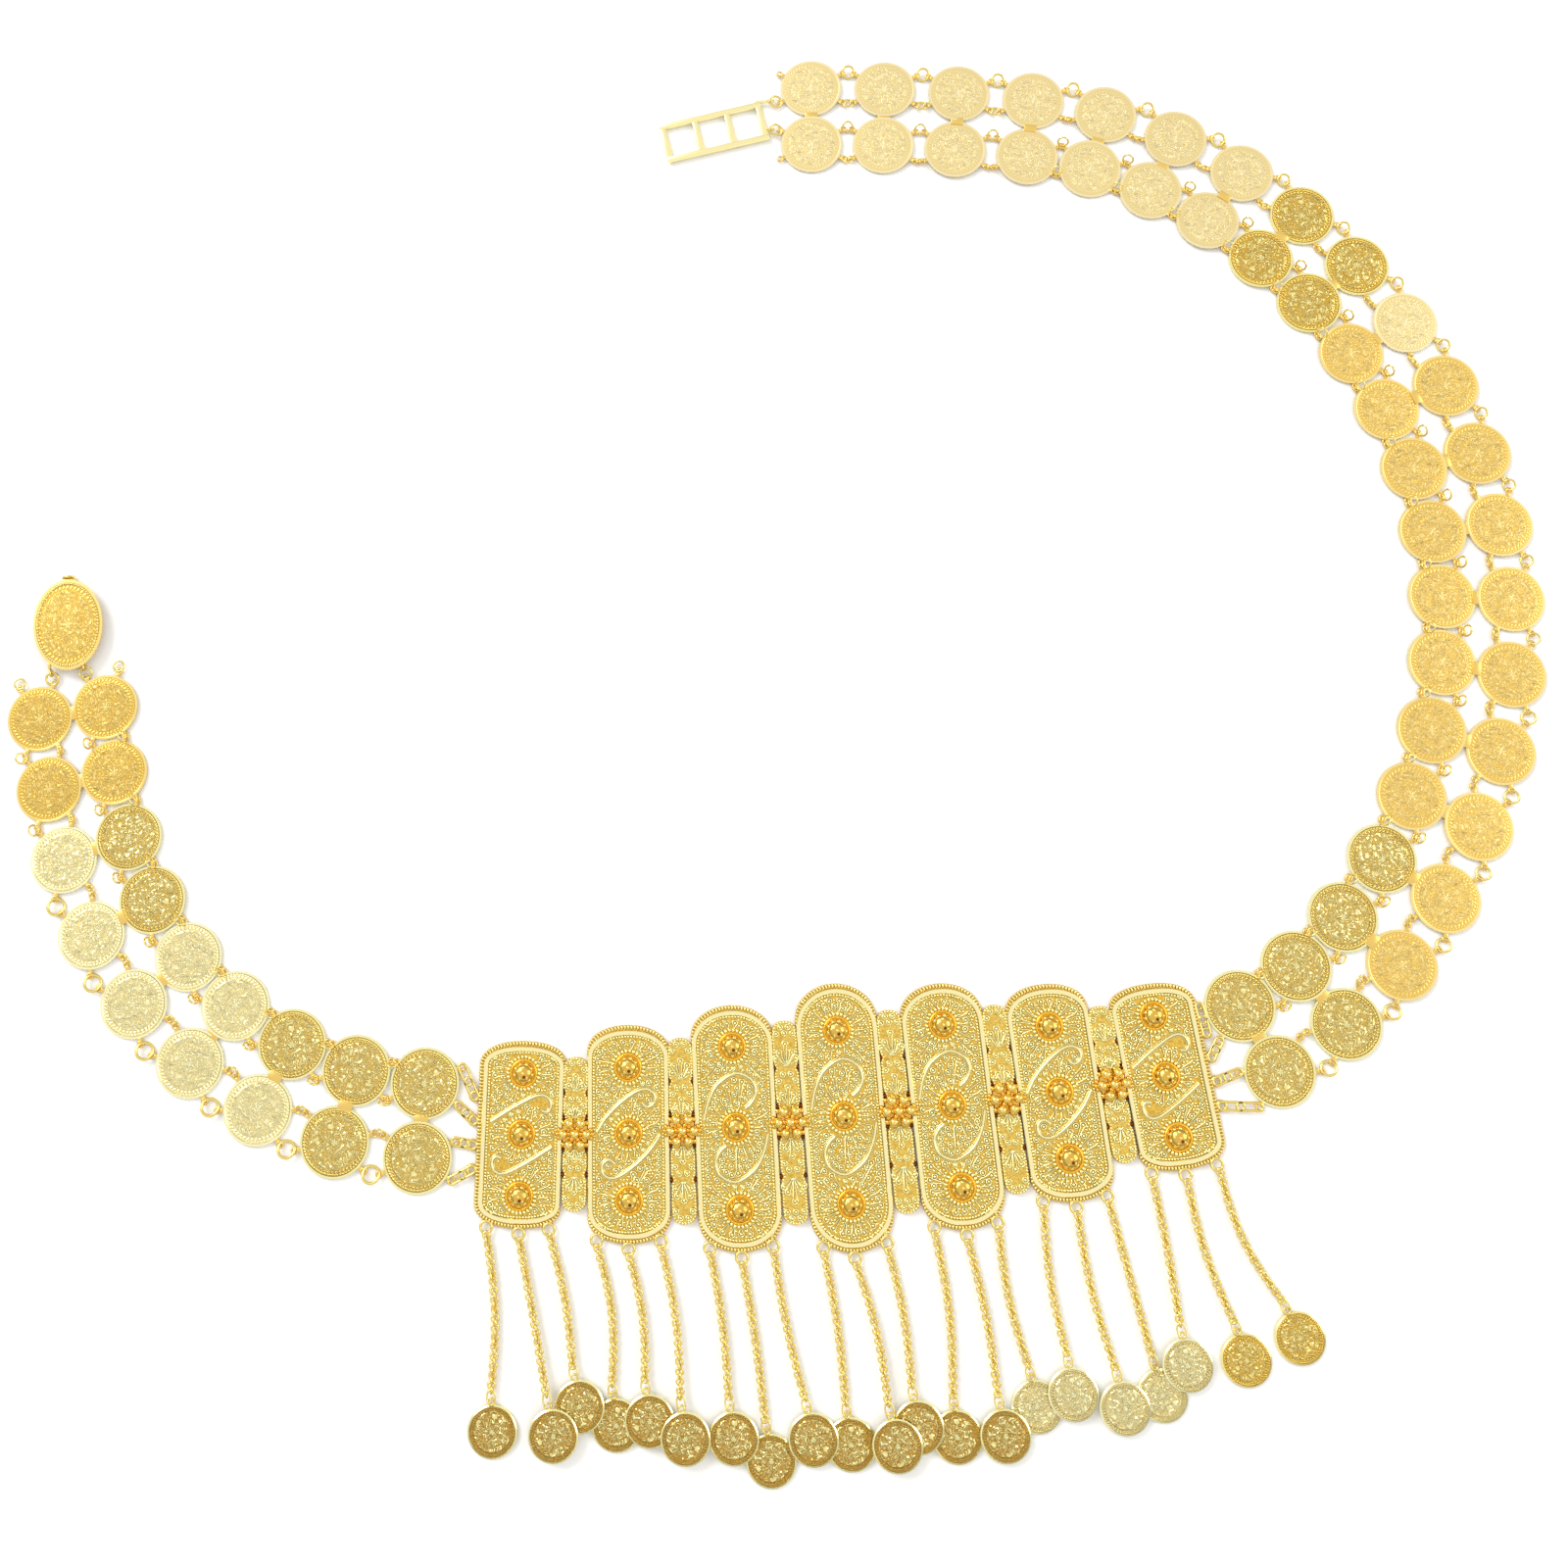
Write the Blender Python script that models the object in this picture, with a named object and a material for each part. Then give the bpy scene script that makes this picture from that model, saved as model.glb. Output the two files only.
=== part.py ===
"""Coin waist chain, laid flat: coin bands, filigree plaques, pendant chains and a hook clasp.

All sizes are in millimetres and are turned into metres where a solid is made. +Z is up, the chain
lies on Z = 0, X runs across the chain from its hook end to its right side, and the pendants point
to -Y. Lengths on the page are measured from PAGE_ORIGIN, which puts the box of the whole chain
round X = Y = 0.
"""
import math
import bpy
import bmesh
from mathutils import Matrix, Vector

MM = 0.001
PAGE_ORIGIN = (-4.08, 26.15)

# Coins of the bands
COIN_RADIUS = 10.5
COIN_THICK = 1.2
PAIR_SPAN = 21.4            # centre to centre of the two soldered coins
NECK_ANGLE = 12.0           # half width of the soldered neck, seen from a coin's centre
EYE_ANGLE = 27.0            # eyelets lie this far to each side of the band's direction
EYE_HALF = 2.2              # half width of an eyelet's tip, degrees
EYE_ROOT = 5.5              # half width of its root
EYE_REACH = 12.4            # tip of an eyelet with no neighbour, from the coin's centre
EYE_HOLE = 11.6             # hole of an eyelet, from the coin's centre

# Rings between the pairs are lobes of the plate, closed as their holes are under 4 mm. They reach
# past the line halfway to the next pair, whose own eyelets stop short of it.
RING_PAST = 0.45
RING_HALF = 2.1
RING_SHOULDER = 1.3
RING_GAP = 0.3
FREE_RING_RADIUS = 2.4
RING_LOW = 0.72             # height of a hinge ring where its eyelet holds it
# coin (+1 outer, -1 inner) and side of that coin, from the outer edge to the inner edge
EYELETS = ((1, 1), (1, -1), (-1, 1), (-1, -1))

# Each band runs clockwise from a first pair (page x, page y, heading in degrees) by steps:
# number of gaps, pitch between the pairs, turn to the right in each gap in degrees
RIGHT_START = (13.2, 231.3, -0.5)
RIGHT_STEPS = ((3, 25.1, 2.7), (3, 23.3, 9.3), (4, 23.2, 7.9), (4, 22.9, 8.1), (4, 23.5, 7.7), (2, 23.1, 10.2))
LEFT_START = (-110.8, -101.3, 176.0)
LEFT_STEPS = ((6, 23.5, 11.1), (2, 22.3, 4.6))

# Long links from the last coins to the outer plaques, over the plaques' side rings
LINK_LOW = 0.94
LINK_TOP = 1.7
LINK_WIDTH = 2.6

# Filigree plaques
PLAQUE_HALF = 12.45         # half width along the sides, to the outside of the smooth band
PLAQUE_END_HALF = 13.4      # half width at the rounded ends, over their beaded border
PLATE_THICK = 1.3
BAND_WIDTH = 2.6            # smooth band and inner beaded wire together
BAND_TOP = 1.95
COLLAR_RADIUS = 4.7
COLLAR_TOP = 2.1
DOME_RADIUS = 3.0
DOME_TOP = 4.6
END_STEPS = 5
# name, page x, page y, tilt in degrees, length, rise of the rounded end, boss pitch, scroll kind
PLAQUES = (
    ("plaque_1", -80.3, -104.9, -1.0, 53.4, 7.0, 17.5, "hook"),
    ("plaque_2", -48.2, -104.4, 0.8, 62.2, 9.4, 18.9, "comma"),
    ("plaque_3", -16.1, -102.4, 2.4, 70.2, 11.4, 23.2, "oval"),
    ("plaque_4", 16.1, -99.0, 3.6, 76.6, 13.0, 24.7, "oval"),
    ("plaque_5", 48.3, -95.6, 4.8, 70.2, 11.4, 23.2, "oval"),
    ("plaque_6", 80.2, -91.6, 6.0, 62.2, 9.4, 18.9, "comma"),
    ("plaque_7", 111.9, -86.9, 8.0, 53.4, 7.0, 17.5, "hook"),
)
# Scroll wire on the upper half of a plaque, in parts of half width (x) and boss pitch (y);
# the lower one is the same, turned by half a turn.
SCROLLS = {
    "hook": ((-0.74, 0.22), (0.30, 0.68), (0.66, 0.60), (0.46, 0.42)),
    "comma": ((-0.82, -0.02), (-0.40, 0.48), (0.30, 0.70), (0.60, 0.44)),
    "oval": ((-0.64, 0.02), (-0.42, 0.52), (0.24, 0.68), (0.46, 0.34)),
}
SCROLL_WIRE = 0.5
# See-through gap beside a hook-shaped scroll: middle in the same parts, length, width, turn
SCROLL_GAP = (0.42, 0.53, 6.2, 3.0, 16.0)
SIDE_RING_PITCH = 7.0
SIDE_RING_OUT = 14.9
SIDE_RING_RADIUS = 1.8
SIDE_RING_TOP = 0.62

# Spacers between the plaques, with their clusters of balls
SPACER_WIDTH = 6.0
SPACER_THICK = 1.3
SPACER_LENGTHS = (44.0, 53.0, 58.0, 58.0, 54.0, 45.0)
HUB_RADIUS = 2.9
HUB_TOP = 3.0
BALL_RADIUS = 1.45
BALL_PITCH = 3.4
BALL_HEIGHT = 3.75

# Pendants: chain from the plaque's lower edge to a small coin
STRIP_WIDTH = 1.1
STRIP_GAP = 0.35
STRIP_BOTTOM = 0.3
STRIP_TOP = 1.3
TOP_RING_RADIUS = 1.9
TOP_RING_SPREAD = 9.3
TOP_RING_OUT = 2.55
STRAND_RADIUS = 1.15
PENDANT_COIN_RADIUS = 7.2
PENDANT_COIN_THICK = 0.9
LEVEL_LOW = 0.3
LEVEL_STEP = 1.2
# coin centre on the page (x, y), level in the overlap, sideways bow of the chain
PENDANTS = (
    (-87.0, -186.5, 0, 1.9), (-69.2, -186.8, 2, 0.2), (-61.8, -179.3, 1, 1.2),
    (-51.2, -184.3, 0, 2.2), (-41.6, -182.8, 1, 1.7), (-31.3, -187.0, 2, 1.5),
    (-17.5, -187.0, 1, 0.9), (-6.9, -193.0, 0, 0.5), (5.2, -187.0, 1, -0.8),
    (16.0, -188.4, 0, 0.9), (28.9, -188.0, 2, 1.4), (35.2, -183.4, 1, 1.2),
    (46.2, -186.0, 0, 1.6), (59.7, -185.3, 1, 1.0), (69.2, -177.8, 0, -1.4),
    (79.4, -174.2, 1, -1.4), (93.8, -177.6, 1, -1.3), (104.9, -174.4, 0, 0.0),
    (112.3, -166.1, 1, 0.4), (129.3, -164.8, 0, -1.6), (145.0, -158.8, 0, -2.6),
)

# Clasp: a ladder on one end, a medallion with a hook under it on the other
HINGE_RING_RISE = 13.5
HINGE_RING_MEAN = 2.15
HINGE_RING_WIRE = 0.42
# The ring is a hexagon of wire: its far side is the hinge axis
HINGE_RING_ACROSS = HINGE_RING_MEAN * (1 + math.cos(math.pi / 6))
HINGE_REACH = HINGE_RING_ACROSS * math.cos(math.radians(HINGE_RING_RISE))
HINGE_HEIGHT = RING_LOW + HINGE_RING_ACROSS * math.sin(math.radians(HINGE_RING_RISE))
LUG_RADIUS = 1.6
LUG_HOLE = 0.85
LUG_WIDTH = 0.9
LADDER_LENGTH = 36.0
LADDER_WIDTH = 14.6
LADDER_BAR = 1.9
LADDER_THICK = 1.6
LADDER_LIFT = 0.15
LADDER_TURN = 13.5
LADDER_CENTRE = (-20.4, 225.5)
MEDAL_CENTRE = (-231.3, 51.2)
MEDAL_HALF = (11.3, 15.4)
MEDAL_TURN = 8.0
MEDAL_BOTTOM = 2.75
MEDAL_TOP = 4.1
HOOK_WIDTH = 4.2
HOOK_LIFT = 0.25
HOOK_THICK = 1.0

GOLDS = {
    "pale gold plate": (0.86, 0.69, 0.30),
    "mid gold plate": (0.80, 0.58, 0.20),
    "orange gold plate": (0.78, 0.50, 0.12),
}


def page(point, height=0.0):
    """A point of the page, in metres in the object's frame."""
    return Vector(((point[0] - PAGE_ORIGIN[0]) * MM, (point[1] - PAGE_ORIGIN[1]) * MM, height * MM))


def turned(x, y, degrees):
    """(x, y) turned counter-clockwise about the origin."""
    a = math.radians(degrees)
    return (x * math.cos(a) - y * math.sin(a), x * math.sin(a) + y * math.cos(a))


def placed(local, origin, degrees):
    """A point of a piece's own frame, on the page."""
    x, y = turned(local[0], local[1], degrees)
    return (origin[0] + x, origin[1] + y)


def gold(name):
    """The named gold, made once."""
    found = bpy.data.materials.get(name)
    if found:
        return found
    made = bpy.data.materials.new(name)
    made.use_nodes = True
    shader = made.node_tree.nodes["Principled BSDF"]
    shader.inputs["Base Color"].default_value = (*GOLDS[name], 1.0)
    shader.inputs["Metallic"].default_value = 1.0
    shader.inputs["Roughness"].default_value = 0.3
    return made


def from_bmesh(bm, name="piece"):
    """A new object in the drafts collection that holds this mesh, sizes in millimetres."""
    bmesh.ops.scale(bm, vec=(MM, MM, MM), verts=bm.verts)
    mesh = bpy.data.meshes.new(name)
    bm.to_mesh(mesh)
    bm.free()
    piece = bpy.data.objects.new(name, mesh)
    drafts.objects.link(piece)
    return piece


def disc(radius, low, high, sides, at=(0.0, 0.0), turn=0.0, top_radius=None):
    """An upright cylinder or cone between two heights."""
    bm = bmesh.new()
    place = Matrix.Translation((at[0], at[1], (low + high) / 2)) @ Matrix.Rotation(math.radians(turn), 4, "Z")
    bmesh.ops.create_cone(bm, cap_ends=True, segments=sides, radius1=radius,
                          radius2=radius if top_radius is None else top_radius,
                          depth=high - low, matrix=place)
    return from_bmesh(bm)


def block(length, width, low, high, at=(0.0, 0.0), turn=0.0):
    """A box, its length along X before it is turned."""
    bm = bmesh.new()
    size = Matrix.Diagonal((length, width, high - low, 1.0))
    place = Matrix.Translation((at[0], at[1], (low + high) / 2)) @ Matrix.Rotation(math.radians(turn), 4, "Z")
    bmesh.ops.create_cube(bm, size=1.0, matrix=place @ size)
    return from_bmesh(bm)


def ball(radius, at):
    """A small ball."""
    bm = bmesh.new()
    bmesh.ops.create_icosphere(bm, subdivisions=1, radius=radius, matrix=Matrix.Translation(at))
    return from_bmesh(bm)


def as_mesh(curve_object):
    """The curve's solid as a mesh object with welded caps, in place of the curve."""
    bpy.context.view_layer.update()
    evaluated = curve_object.evaluated_get(bpy.context.evaluated_depsgraph_get())
    mesh = bpy.data.meshes.new_from_object(evaluated)
    bm = bmesh.new()
    bm.from_mesh(mesh)
    bmesh.ops.remove_doubles(bm, verts=bm.verts, dist=1e-7)
    bmesh.ops.recalc_face_normals(bm, faces=bm.faces)
    bm.to_mesh(mesh)
    bm.free()
    piece = bpy.data.objects.new("piece", mesh)
    drafts.objects.link(piece)
    bpy.data.objects.remove(curve_object)
    return piece


def outline(points, low, high, holes=()):
    """A flat outline, with holes in it where given, extruded between two heights."""
    curve = bpy.data.curves.new("outline", "CURVE")
    curve.dimensions = "2D"
    curve.fill_mode = "BOTH"
    curve.extrude = (high - low) / 2 * MM
    for loop in (points, *holes):
        spline = curve.splines.new("POLY")
        spline.points.add(len(loop) - 1)
        for knot, (x, y) in zip(spline.points, loop):
            knot.co = (x * MM, y * MM, 0.0, 1.0)
        spline.use_cyclic_u = True
    shape = bpy.data.objects.new("outline", curve)
    drafts.objects.link(shape)
    piece = as_mesh(shape)
    piece.data.transform(Matrix.Translation((0.0, 0.0, (low + high) / 2 * MM)))
    return piece


def wire(points, radius, closed=False):
    """A wire of four sides along points (x, y, z)."""
    curve = bpy.data.curves.new("wire", "CURVE")
    curve.dimensions = "3D"
    curve.bevel_depth = radius * MM
    curve.bevel_resolution = 0
    curve.use_fill_caps = True
    spline = curve.splines.new("POLY")
    spline.points.add(len(points) - 1)
    for knot, (x, y, z) in zip(spline.points, points):
        knot.co = (x * MM, y * MM, z * MM, 1.0)
    spline.use_cyclic_u = closed
    shape = bpy.data.objects.new("wire", curve)
    drafts.objects.link(shape)
    return as_mesh(shape)


def hinge_ring(hold, heading):
    """An open ring in a pair's frame, whose far wire lies on a clasp half's hinge axis."""
    place = (Matrix.Translation((hold[0], hold[1], RING_LOW))
             @ Matrix.Rotation(math.radians(heading), 4, "Z")
             @ Matrix.Rotation(math.radians(-HINGE_RING_RISE), 4, "Y")
             @ Matrix.Translation((HINGE_RING_MEAN, 0.0, 0.0))
             @ Matrix.Rotation(math.radians(30), 4, "Z"))
    bpy.ops.mesh.primitive_torus_add(major_segments=6, minor_segments=3, major_radius=HINGE_RING_MEAN,
                                     minor_radius=HINGE_RING_WIRE)
    torus = bpy.context.object
    bm = bmesh.new()
    bm.from_mesh(torus.data)
    bpy.data.objects.remove(torus)
    bmesh.ops.transform(bm, matrix=place, verts=bm.verts)
    return from_bmesh(bm)


def joined(pieces):
    """Several solids as one object, still separate shells."""
    bm = bmesh.new()
    for piece in pieces:
        bm.from_mesh(piece.data)
    mesh = bpy.data.meshes.new("shells")
    bm.to_mesh(mesh)
    bm.free()
    whole = bpy.data.objects.new("shells", mesh)
    drafts.objects.link(whole)
    for piece in pieces:
        bpy.data.objects.remove(piece)
    return whole


def fused(pieces, cutters=()):
    """One mesh from overlapping solids, by an exact union, less the cutters."""
    body = pieces[0]
    steps = []
    if len(pieces) > 1:
        steps.append((joined(pieces[1:]), "UNION"))
    if cutters:
        steps.append((joined(list(cutters)), "DIFFERENCE"))
    for other, operation in steps:
        step = body.modifiers.new(operation.lower(), "BOOLEAN")
        step.operation = operation
        step.solver = "EXACT"
        step.use_self = True
        step.object = other
    bpy.context.view_layer.update()
    evaluated = body.evaluated_get(bpy.context.evaluated_depsgraph_get())
    mesh = bpy.data.meshes.new_from_object(evaluated)
    for piece in [body, *(other for other, _ in steps)]:
        bpy.data.objects.remove(piece)
    return mesh


def node(name, mesh, colour, at=(0.0, 0.0), turn=0.0, lift=0.0):
    """A named piece of the chain, placed on the page."""
    piece = bpy.data.objects.new(name, mesh)
    if not mesh.materials:
        mesh.materials.append(gold(colour))
    piece.location = page(at, lift)
    piece.rotation_euler = (0.0, 0.0, math.radians(turn))
    chain.objects.link(piece)
    return piece


def band_places(start, steps):
    """Places of the coin pairs of a band: (x, y, heading in degrees)."""
    x, y, heading = start
    places = [(x, y, heading)]
    for count, pitch, turn in steps:
        for _ in range(count):
            way = math.radians(heading - turn / 2)
            x, y, heading = x + pitch * math.cos(way), y + pitch * math.sin(way), heading - turn
            places.append((x, y, heading))
    return places


def across_gap(u, v, pitch, turn, ahead):
    """A point beside the line halfway to a neighbour, in a pair's frame: u towards the neighbour."""
    way = math.radians(turn / 2)
    sign = 1 if ahead else -1
    middle = (sign * pitch / 2 * math.cos(way), -pitch / 2 * math.sin(way))
    return placed((sign * u, v), middle, -sign * turn / 2)


def eyelet_points(coin, side, forward, gap):
    """Tip of an eyelet, or ring lobe where the gap lies ahead, in order of rising Y."""
    y = coin * PAIR_SPAN / 2 + side * EYE_HOLE * math.sin(math.radians(EYE_ANGLE))
    if gap is None:
        tip = math.radians(EYE_HALF)
        a = math.radians(EYE_ANGLE)
        return [(forward * EYE_REACH * math.cos(side * a + k * tip),
                 coin * PAIR_SPAN / 2 + EYE_REACH * math.sin(side * a + k * tip)) for k in (-1, 1)]
    pitch, turn = gap
    v = (y + pitch / 2 * math.sin(math.radians(turn / 2))) / math.cos(math.radians(turn / 2))
    ahead = forward > 0
    tip = RING_PAST if ahead else -RING_PAST - RING_GAP
    half = math.radians(EYE_ROOT) * COIN_RADIUS * 0.7
    edge = pitch / 2 + v * math.tan(math.radians(turn / 2)) - COIN_RADIUS * math.cos(math.radians(EYE_ANGLE))
    if ahead and edge + tip > RING_SHOULDER + 1.0:
        marks = ((tip - RING_SHOULDER, -RING_HALF), (tip, -half), (tip, half), (tip - RING_SHOULDER, RING_HALF))
    else:
        marks = ((tip, -half), (tip, half))
    return [across_gap(u, v + dv, pitch, turn, ahead) for u, dv in marks]


def coin_outline(coin, behind, ahead):
    """The edge of one coin of a pair with its four eyelets, anticlockwise from neck to neck."""
    def on_coin(angle):
        a = math.radians(angle)
        return (COIN_RADIUS * math.cos(a), COIN_RADIUS * math.sin(a) + coin * PAIR_SPAN / 2)

    def eyelet(side, forward, gap):
        middle = EYE_ANGLE * side if forward > 0 else 180 - EYE_ANGLE * side
        tips = eyelet_points(coin, side, forward, gap)
        if forward < 0:
            tips = tips[::-1]
        return [on_coin(middle - EYE_ROOT), *tips, on_coin(middle + EYE_ROOT)]

    right_side = [*eyelet(-1, 1, ahead), on_coin(0), *eyelet(1, 1, ahead)]
    left_side = [*eyelet(1, -1, behind), on_coin(180), *eyelet(-1, -1, behind)]
    if coin > 0:
        return [on_coin(NECK_ANGLE - 90), on_coin(-52), *right_side, on_coin(60), on_coin(90), on_coin(120),
                *left_side, on_coin(232), on_coin(270 - NECK_ANGLE)]
    return [on_coin(90 + NECK_ANGLE), on_coin(128), *left_side, on_coin(240), on_coin(270), on_coin(300),
            *right_side, on_coin(52), on_coin(90 - NECK_ANGLE)]


def eye_hole(coin, side, forward=1, reach=EYE_HOLE):
    """Hole of an eyelet in its pair's frame: coin +1 outer or -1 inner, side +1 or -1 of it."""
    a = math.radians(EYE_ANGLE)
    return (forward * reach * math.cos(a), coin * PAIR_SPAN / 2 + side * reach * math.sin(a))


def pair_mesh(behind, ahead, extras=()):
    """Two coins soldered edge to edge, between the gaps (pitch, turn) behind and ahead of them."""
    return fused([outline(coin_outline(1, behind, ahead) + coin_outline(-1, behind, ahead), 0.0, COIN_THICK),
                  *extras])


def link_plate(start, end, low, high):
    """A long oval link lying between two points."""
    dx, dy = end[0] - start[0], end[1] - start[1]
    length = math.hypot(dx, dy)
    half = LINK_WIDTH / 2
    loop = ((0.0, 0.0), (1.0, half), (length - 0.9, half), (length, 0.0), (length - 0.9, -half), (1.0, -half))
    turn = math.degrees(math.atan2(dy, dx))
    return outline([placed(p, start, turn) for p in loop], low, high)


def side_rings(plaque, side):
    """Middles of the four rings soldered to a plaque's outer side, on the page, top first."""
    _, x, y, tilt, *_ = plaque
    return [placed((side * SIDE_RING_OUT, SIDE_RING_PITCH * k), (x, y), tilt) for k in (1.5, 0.5, -0.5, -1.5)]


def plaque_links(place, plaque, side, forward):
    """Long links from a coin pair's four eyelets to a plaque's side rings, in the pair's frame."""
    x, y, heading = place
    holes = [eye_hole(coin, s, forward, EYE_HOLE - 0.3) for coin, s in EYELETS]
    links = []
    for hole, target in zip(holes, reversed(side_rings(plaque, side))):
        local = turned(target[0] - x, target[1] - y, -heading)
        links.append(link_plate(hole, local, LINK_LOW, LINK_TOP))
    return links


def hinge_points(place, forward):
    """Middles of the far sides of the two rings that carry a clasp half, on the page."""
    x, y, heading = place
    out = heading if forward > 0 else heading + 180
    holds = [placed(eye_hole(coin, side, forward), (x, y), heading) for coin, side in EYELETS[1:3]]
    return [placed((HINGE_REACH, 0.0), hold, out) for hold in holds]


def hinge_rings(forward):
    """The two rings at a band's end that a clasp half swings on, in the pair's frame."""
    return [hinge_ring(eye_hole(coin, side, forward), 0.0 if forward > 0 else 180.0)
            for coin, side in EYELETS[1:3]]


def free_rings():
    """The two rings left hanging at the outer and inner edges of a band's end, in the pair's frame."""
    holes = [eye_hole(coin, side) for coin, side in (EYELETS[0], EYELETS[3])]
    return [disc(FREE_RING_RADIUS, 0.1, 0.9, 8, (x + FREE_RING_RADIUS - 0.8, y)) for x, y in holes]


def plaque_outline(length, rise, half, end_half, inset):
    """Edge of a plaque, moved in by inset: straight sides and rounded ends."""
    straight = length / 2 - rise
    loop = []
    for top in (1, -1):
        if top > 0:
            loop.append((half - inset, straight - 1.2))
        else:
            loop.append((-(half - inset), -(straight - 1.2)))
        for k in range(END_STEPS + 1):
            a = math.pi * k / END_STEPS
            # the ends are a little squarer than an ellipse where they rise less
            power = 0.78 + 0.22 * rise / 13.0
            cx, sy = math.cos(a), math.sin(a)
            wide = half + (end_half - half) * min(1.0, 1.5 * sy)
            x = math.copysign(abs(cx) ** power, cx) * (wide - inset)
            y = straight + abs(sy) ** power * (rise - inset)
            loop.append((x * top, y * top))
        if top > 0:
            loop.append((-(half - inset), straight - 1.2))
        else:
            loop.append((half - inset, -(straight - 1.2)))
    return loop


def scroll_points(kind, half, pitch, turn):
    """Middle line of a scroll wire: turn is +1 for the upper one and -1 for the lower one."""
    return [(turn * u * half, turn * v * pitch) for u, v in SCROLLS[kind]]


def plaque_mesh(row, rings_side):
    """Plate, raised smooth band, three bosses and two scroll wires."""
    _, _, _, _, length, rise, pitch, kind = row
    edge = plaque_outline(length, rise, PLAQUE_HALF, PLAQUE_END_HALF, 0.0)
    if rings_side:
        # no spacer covers the beaded border on the chain's outer side
        edge = [(rings_side * PLAQUE_END_HALF if abs(x - rings_side * PLAQUE_HALF) < 0.01 else x, y)
                for x, y in edge]
    outer = plaque_outline(length - 2.4, rise - 1.0, PLAQUE_HALF, PLAQUE_HALF, 0.15)
    inner = plaque_outline(length - 2.4, rise - 1.0, PLAQUE_HALF, PLAQUE_HALF, BAND_WIDTH)
    pieces = [outline(edge, 0.0, PLATE_THICK),
              outline(outer, PLATE_THICK / 2, BAND_TOP, holes=(inner,))]
    for k in (-1, 0, 1):
        at = (0.0, k * pitch)
        pieces.append(disc(COLLAR_RADIUS, 0.6, COLLAR_TOP, 9, at, top_radius=COLLAR_RADIUS - 0.7))
        pieces.append(disc(DOME_RADIUS, 1.0, DOME_TOP, 6, at, 10.0, top_radius=1.2))
    for turn in (1, -1):
        line = [(x, y, PLATE_THICK + 0.15) for x, y in scroll_points(kind, PLAQUE_HALF - 1.0, pitch, turn)]
        pieces.append(wire(line, SCROLL_WIRE))
    if rings_side:
        for k in (1.5, 0.5, -0.5, -1.5):
            pieces.append(disc(SIDE_RING_RADIUS, 0.05, SIDE_RING_TOP, 6,
                               (rings_side * SIDE_RING_OUT, SIDE_RING_PITCH * k)))
    cutters = []
    if kind == "hook":
        u, v, gap_length, gap_width, gap_turn = SCROLL_GAP
        for turn in (1, -1):
            at = (turn * u * (PLAQUE_HALF - 1.0), turn * v * pitch)
            gap = [(gap_length / 2 * math.cos(math.radians(a)), gap_width / 2 * math.sin(math.radians(a)))
                   for a in range(0, 360, 60)]
            cutters.append(outline([placed(p, at, gap_turn) for p in gap], -1.0, 5.0))
    return fused(pieces, cutters)


def spacer_mesh(length):
    """A narrow lobed plate with a hub and seven balls on it."""
    half, end = SPACER_WIDTH / 2, length / 2
    edge = [(half, end - 3.0), (half * 0.6, end - 0.6), (-half * 0.6, end - 0.6), (-half, end - 3.0),
            (-half, -end + 3.0), (-half * 0.6, -end + 0.6), (half * 0.6, -end + 0.6), (half, -end + 3.0)]
    pieces = [outline(edge, 0.0, SPACER_THICK), disc(HUB_RADIUS, 0.7, HUB_TOP, 6)]
    row = BALL_PITCH * math.sqrt(3) / 2
    for x, y in ((-1, 0), (0, 0), (1, 0), (-0.5, 1), (0.5, 1), (-0.5, -1), (0.5, -1)):
        pieces.append(ball(BALL_RADIUS, (x * BALL_PITCH, y * row, BALL_HEIGHT)))
    return fused(pieces)


def lower_edge(length, rise, outward):
    """The rounded lower edge of a plaque, moved out, from left to right without its first and last points."""
    loop = plaque_outline(length, rise, PLAQUE_HALF, PLAQUE_END_HALF, -outward)
    start = len(loop) // 2 + 2
    return loop[start:start + END_STEPS - 1]


def edge_height(length, rise, x, outward):
    """Where the plaque's lower edge, moved out, lies at a distance x from its middle."""
    low = lower_edge(length, rise, outward)
    for (x0, y0), (x1, y1) in zip(low, low[1:]):
        if x0 <= x <= x1:
            return y0 + (y1 - y0) * (x - x0) / (x1 - x0)
    return low[0][1]


def pendant_points(row, number, coin):
    """Middle line of a pendant chain, in its plaque's frame, and its coin's centre and level."""
    _, x, y, tilt, length, rise, *_ = row
    cx, cy, level, bow = coin
    centre = turned(cx - x, cy - y, -tilt)
    root_x = (number - 1) * TOP_RING_SPREAD
    root_y = edge_height(length, rise, root_x, TOP_RING_OUT)
    height = LEVEL_LOW + LEVEL_STEP * level
    dx, dy = centre[0] - root_x, centre[1] - root_y
    far = math.hypot(dx, dy)
    ux, uy = dx / far, dy / far
    last = far - PENDANT_COIN_RADIUS + 0.8
    line = []
    for k in range(3):
        t = k / 2
        side = bow * math.sin(math.pi * t)
        z = (1 - t) * 1.3 + t * (height + PENDANT_COIN_THICK + 0.25)
        line.append((root_x + ux * last * t - uy * side, root_y + uy * last * t + ux * side, z))
    return line, (root_x, root_y), centre, height


def pendant_mesh(row, coins):
    """Three chains with small coins, their roots fused to a strip along the plaque's lower edge."""
    _, _, _, _, length, rise, *_ = row
    near = lower_edge(length, rise, STRIP_GAP)
    away = lower_edge(length, rise, STRIP_GAP + STRIP_WIDTH)
    pieces = [outline(near + away[::-1], STRIP_BOTTOM, STRIP_TOP)]
    for number, coin in enumerate(coins):
        line, root, centre, height = pendant_points(row, number, coin)
        pieces.append(disc(TOP_RING_RADIUS, STRIP_BOTTOM + 0.1, STRIP_TOP + 0.2, 6, root))
        pieces.append(wire(line, STRAND_RADIUS))
        pieces.append(disc(PENDANT_COIN_RADIUS, height, height + PENDANT_COIN_THICK, 12, centre))
    return fused(pieces)


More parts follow.
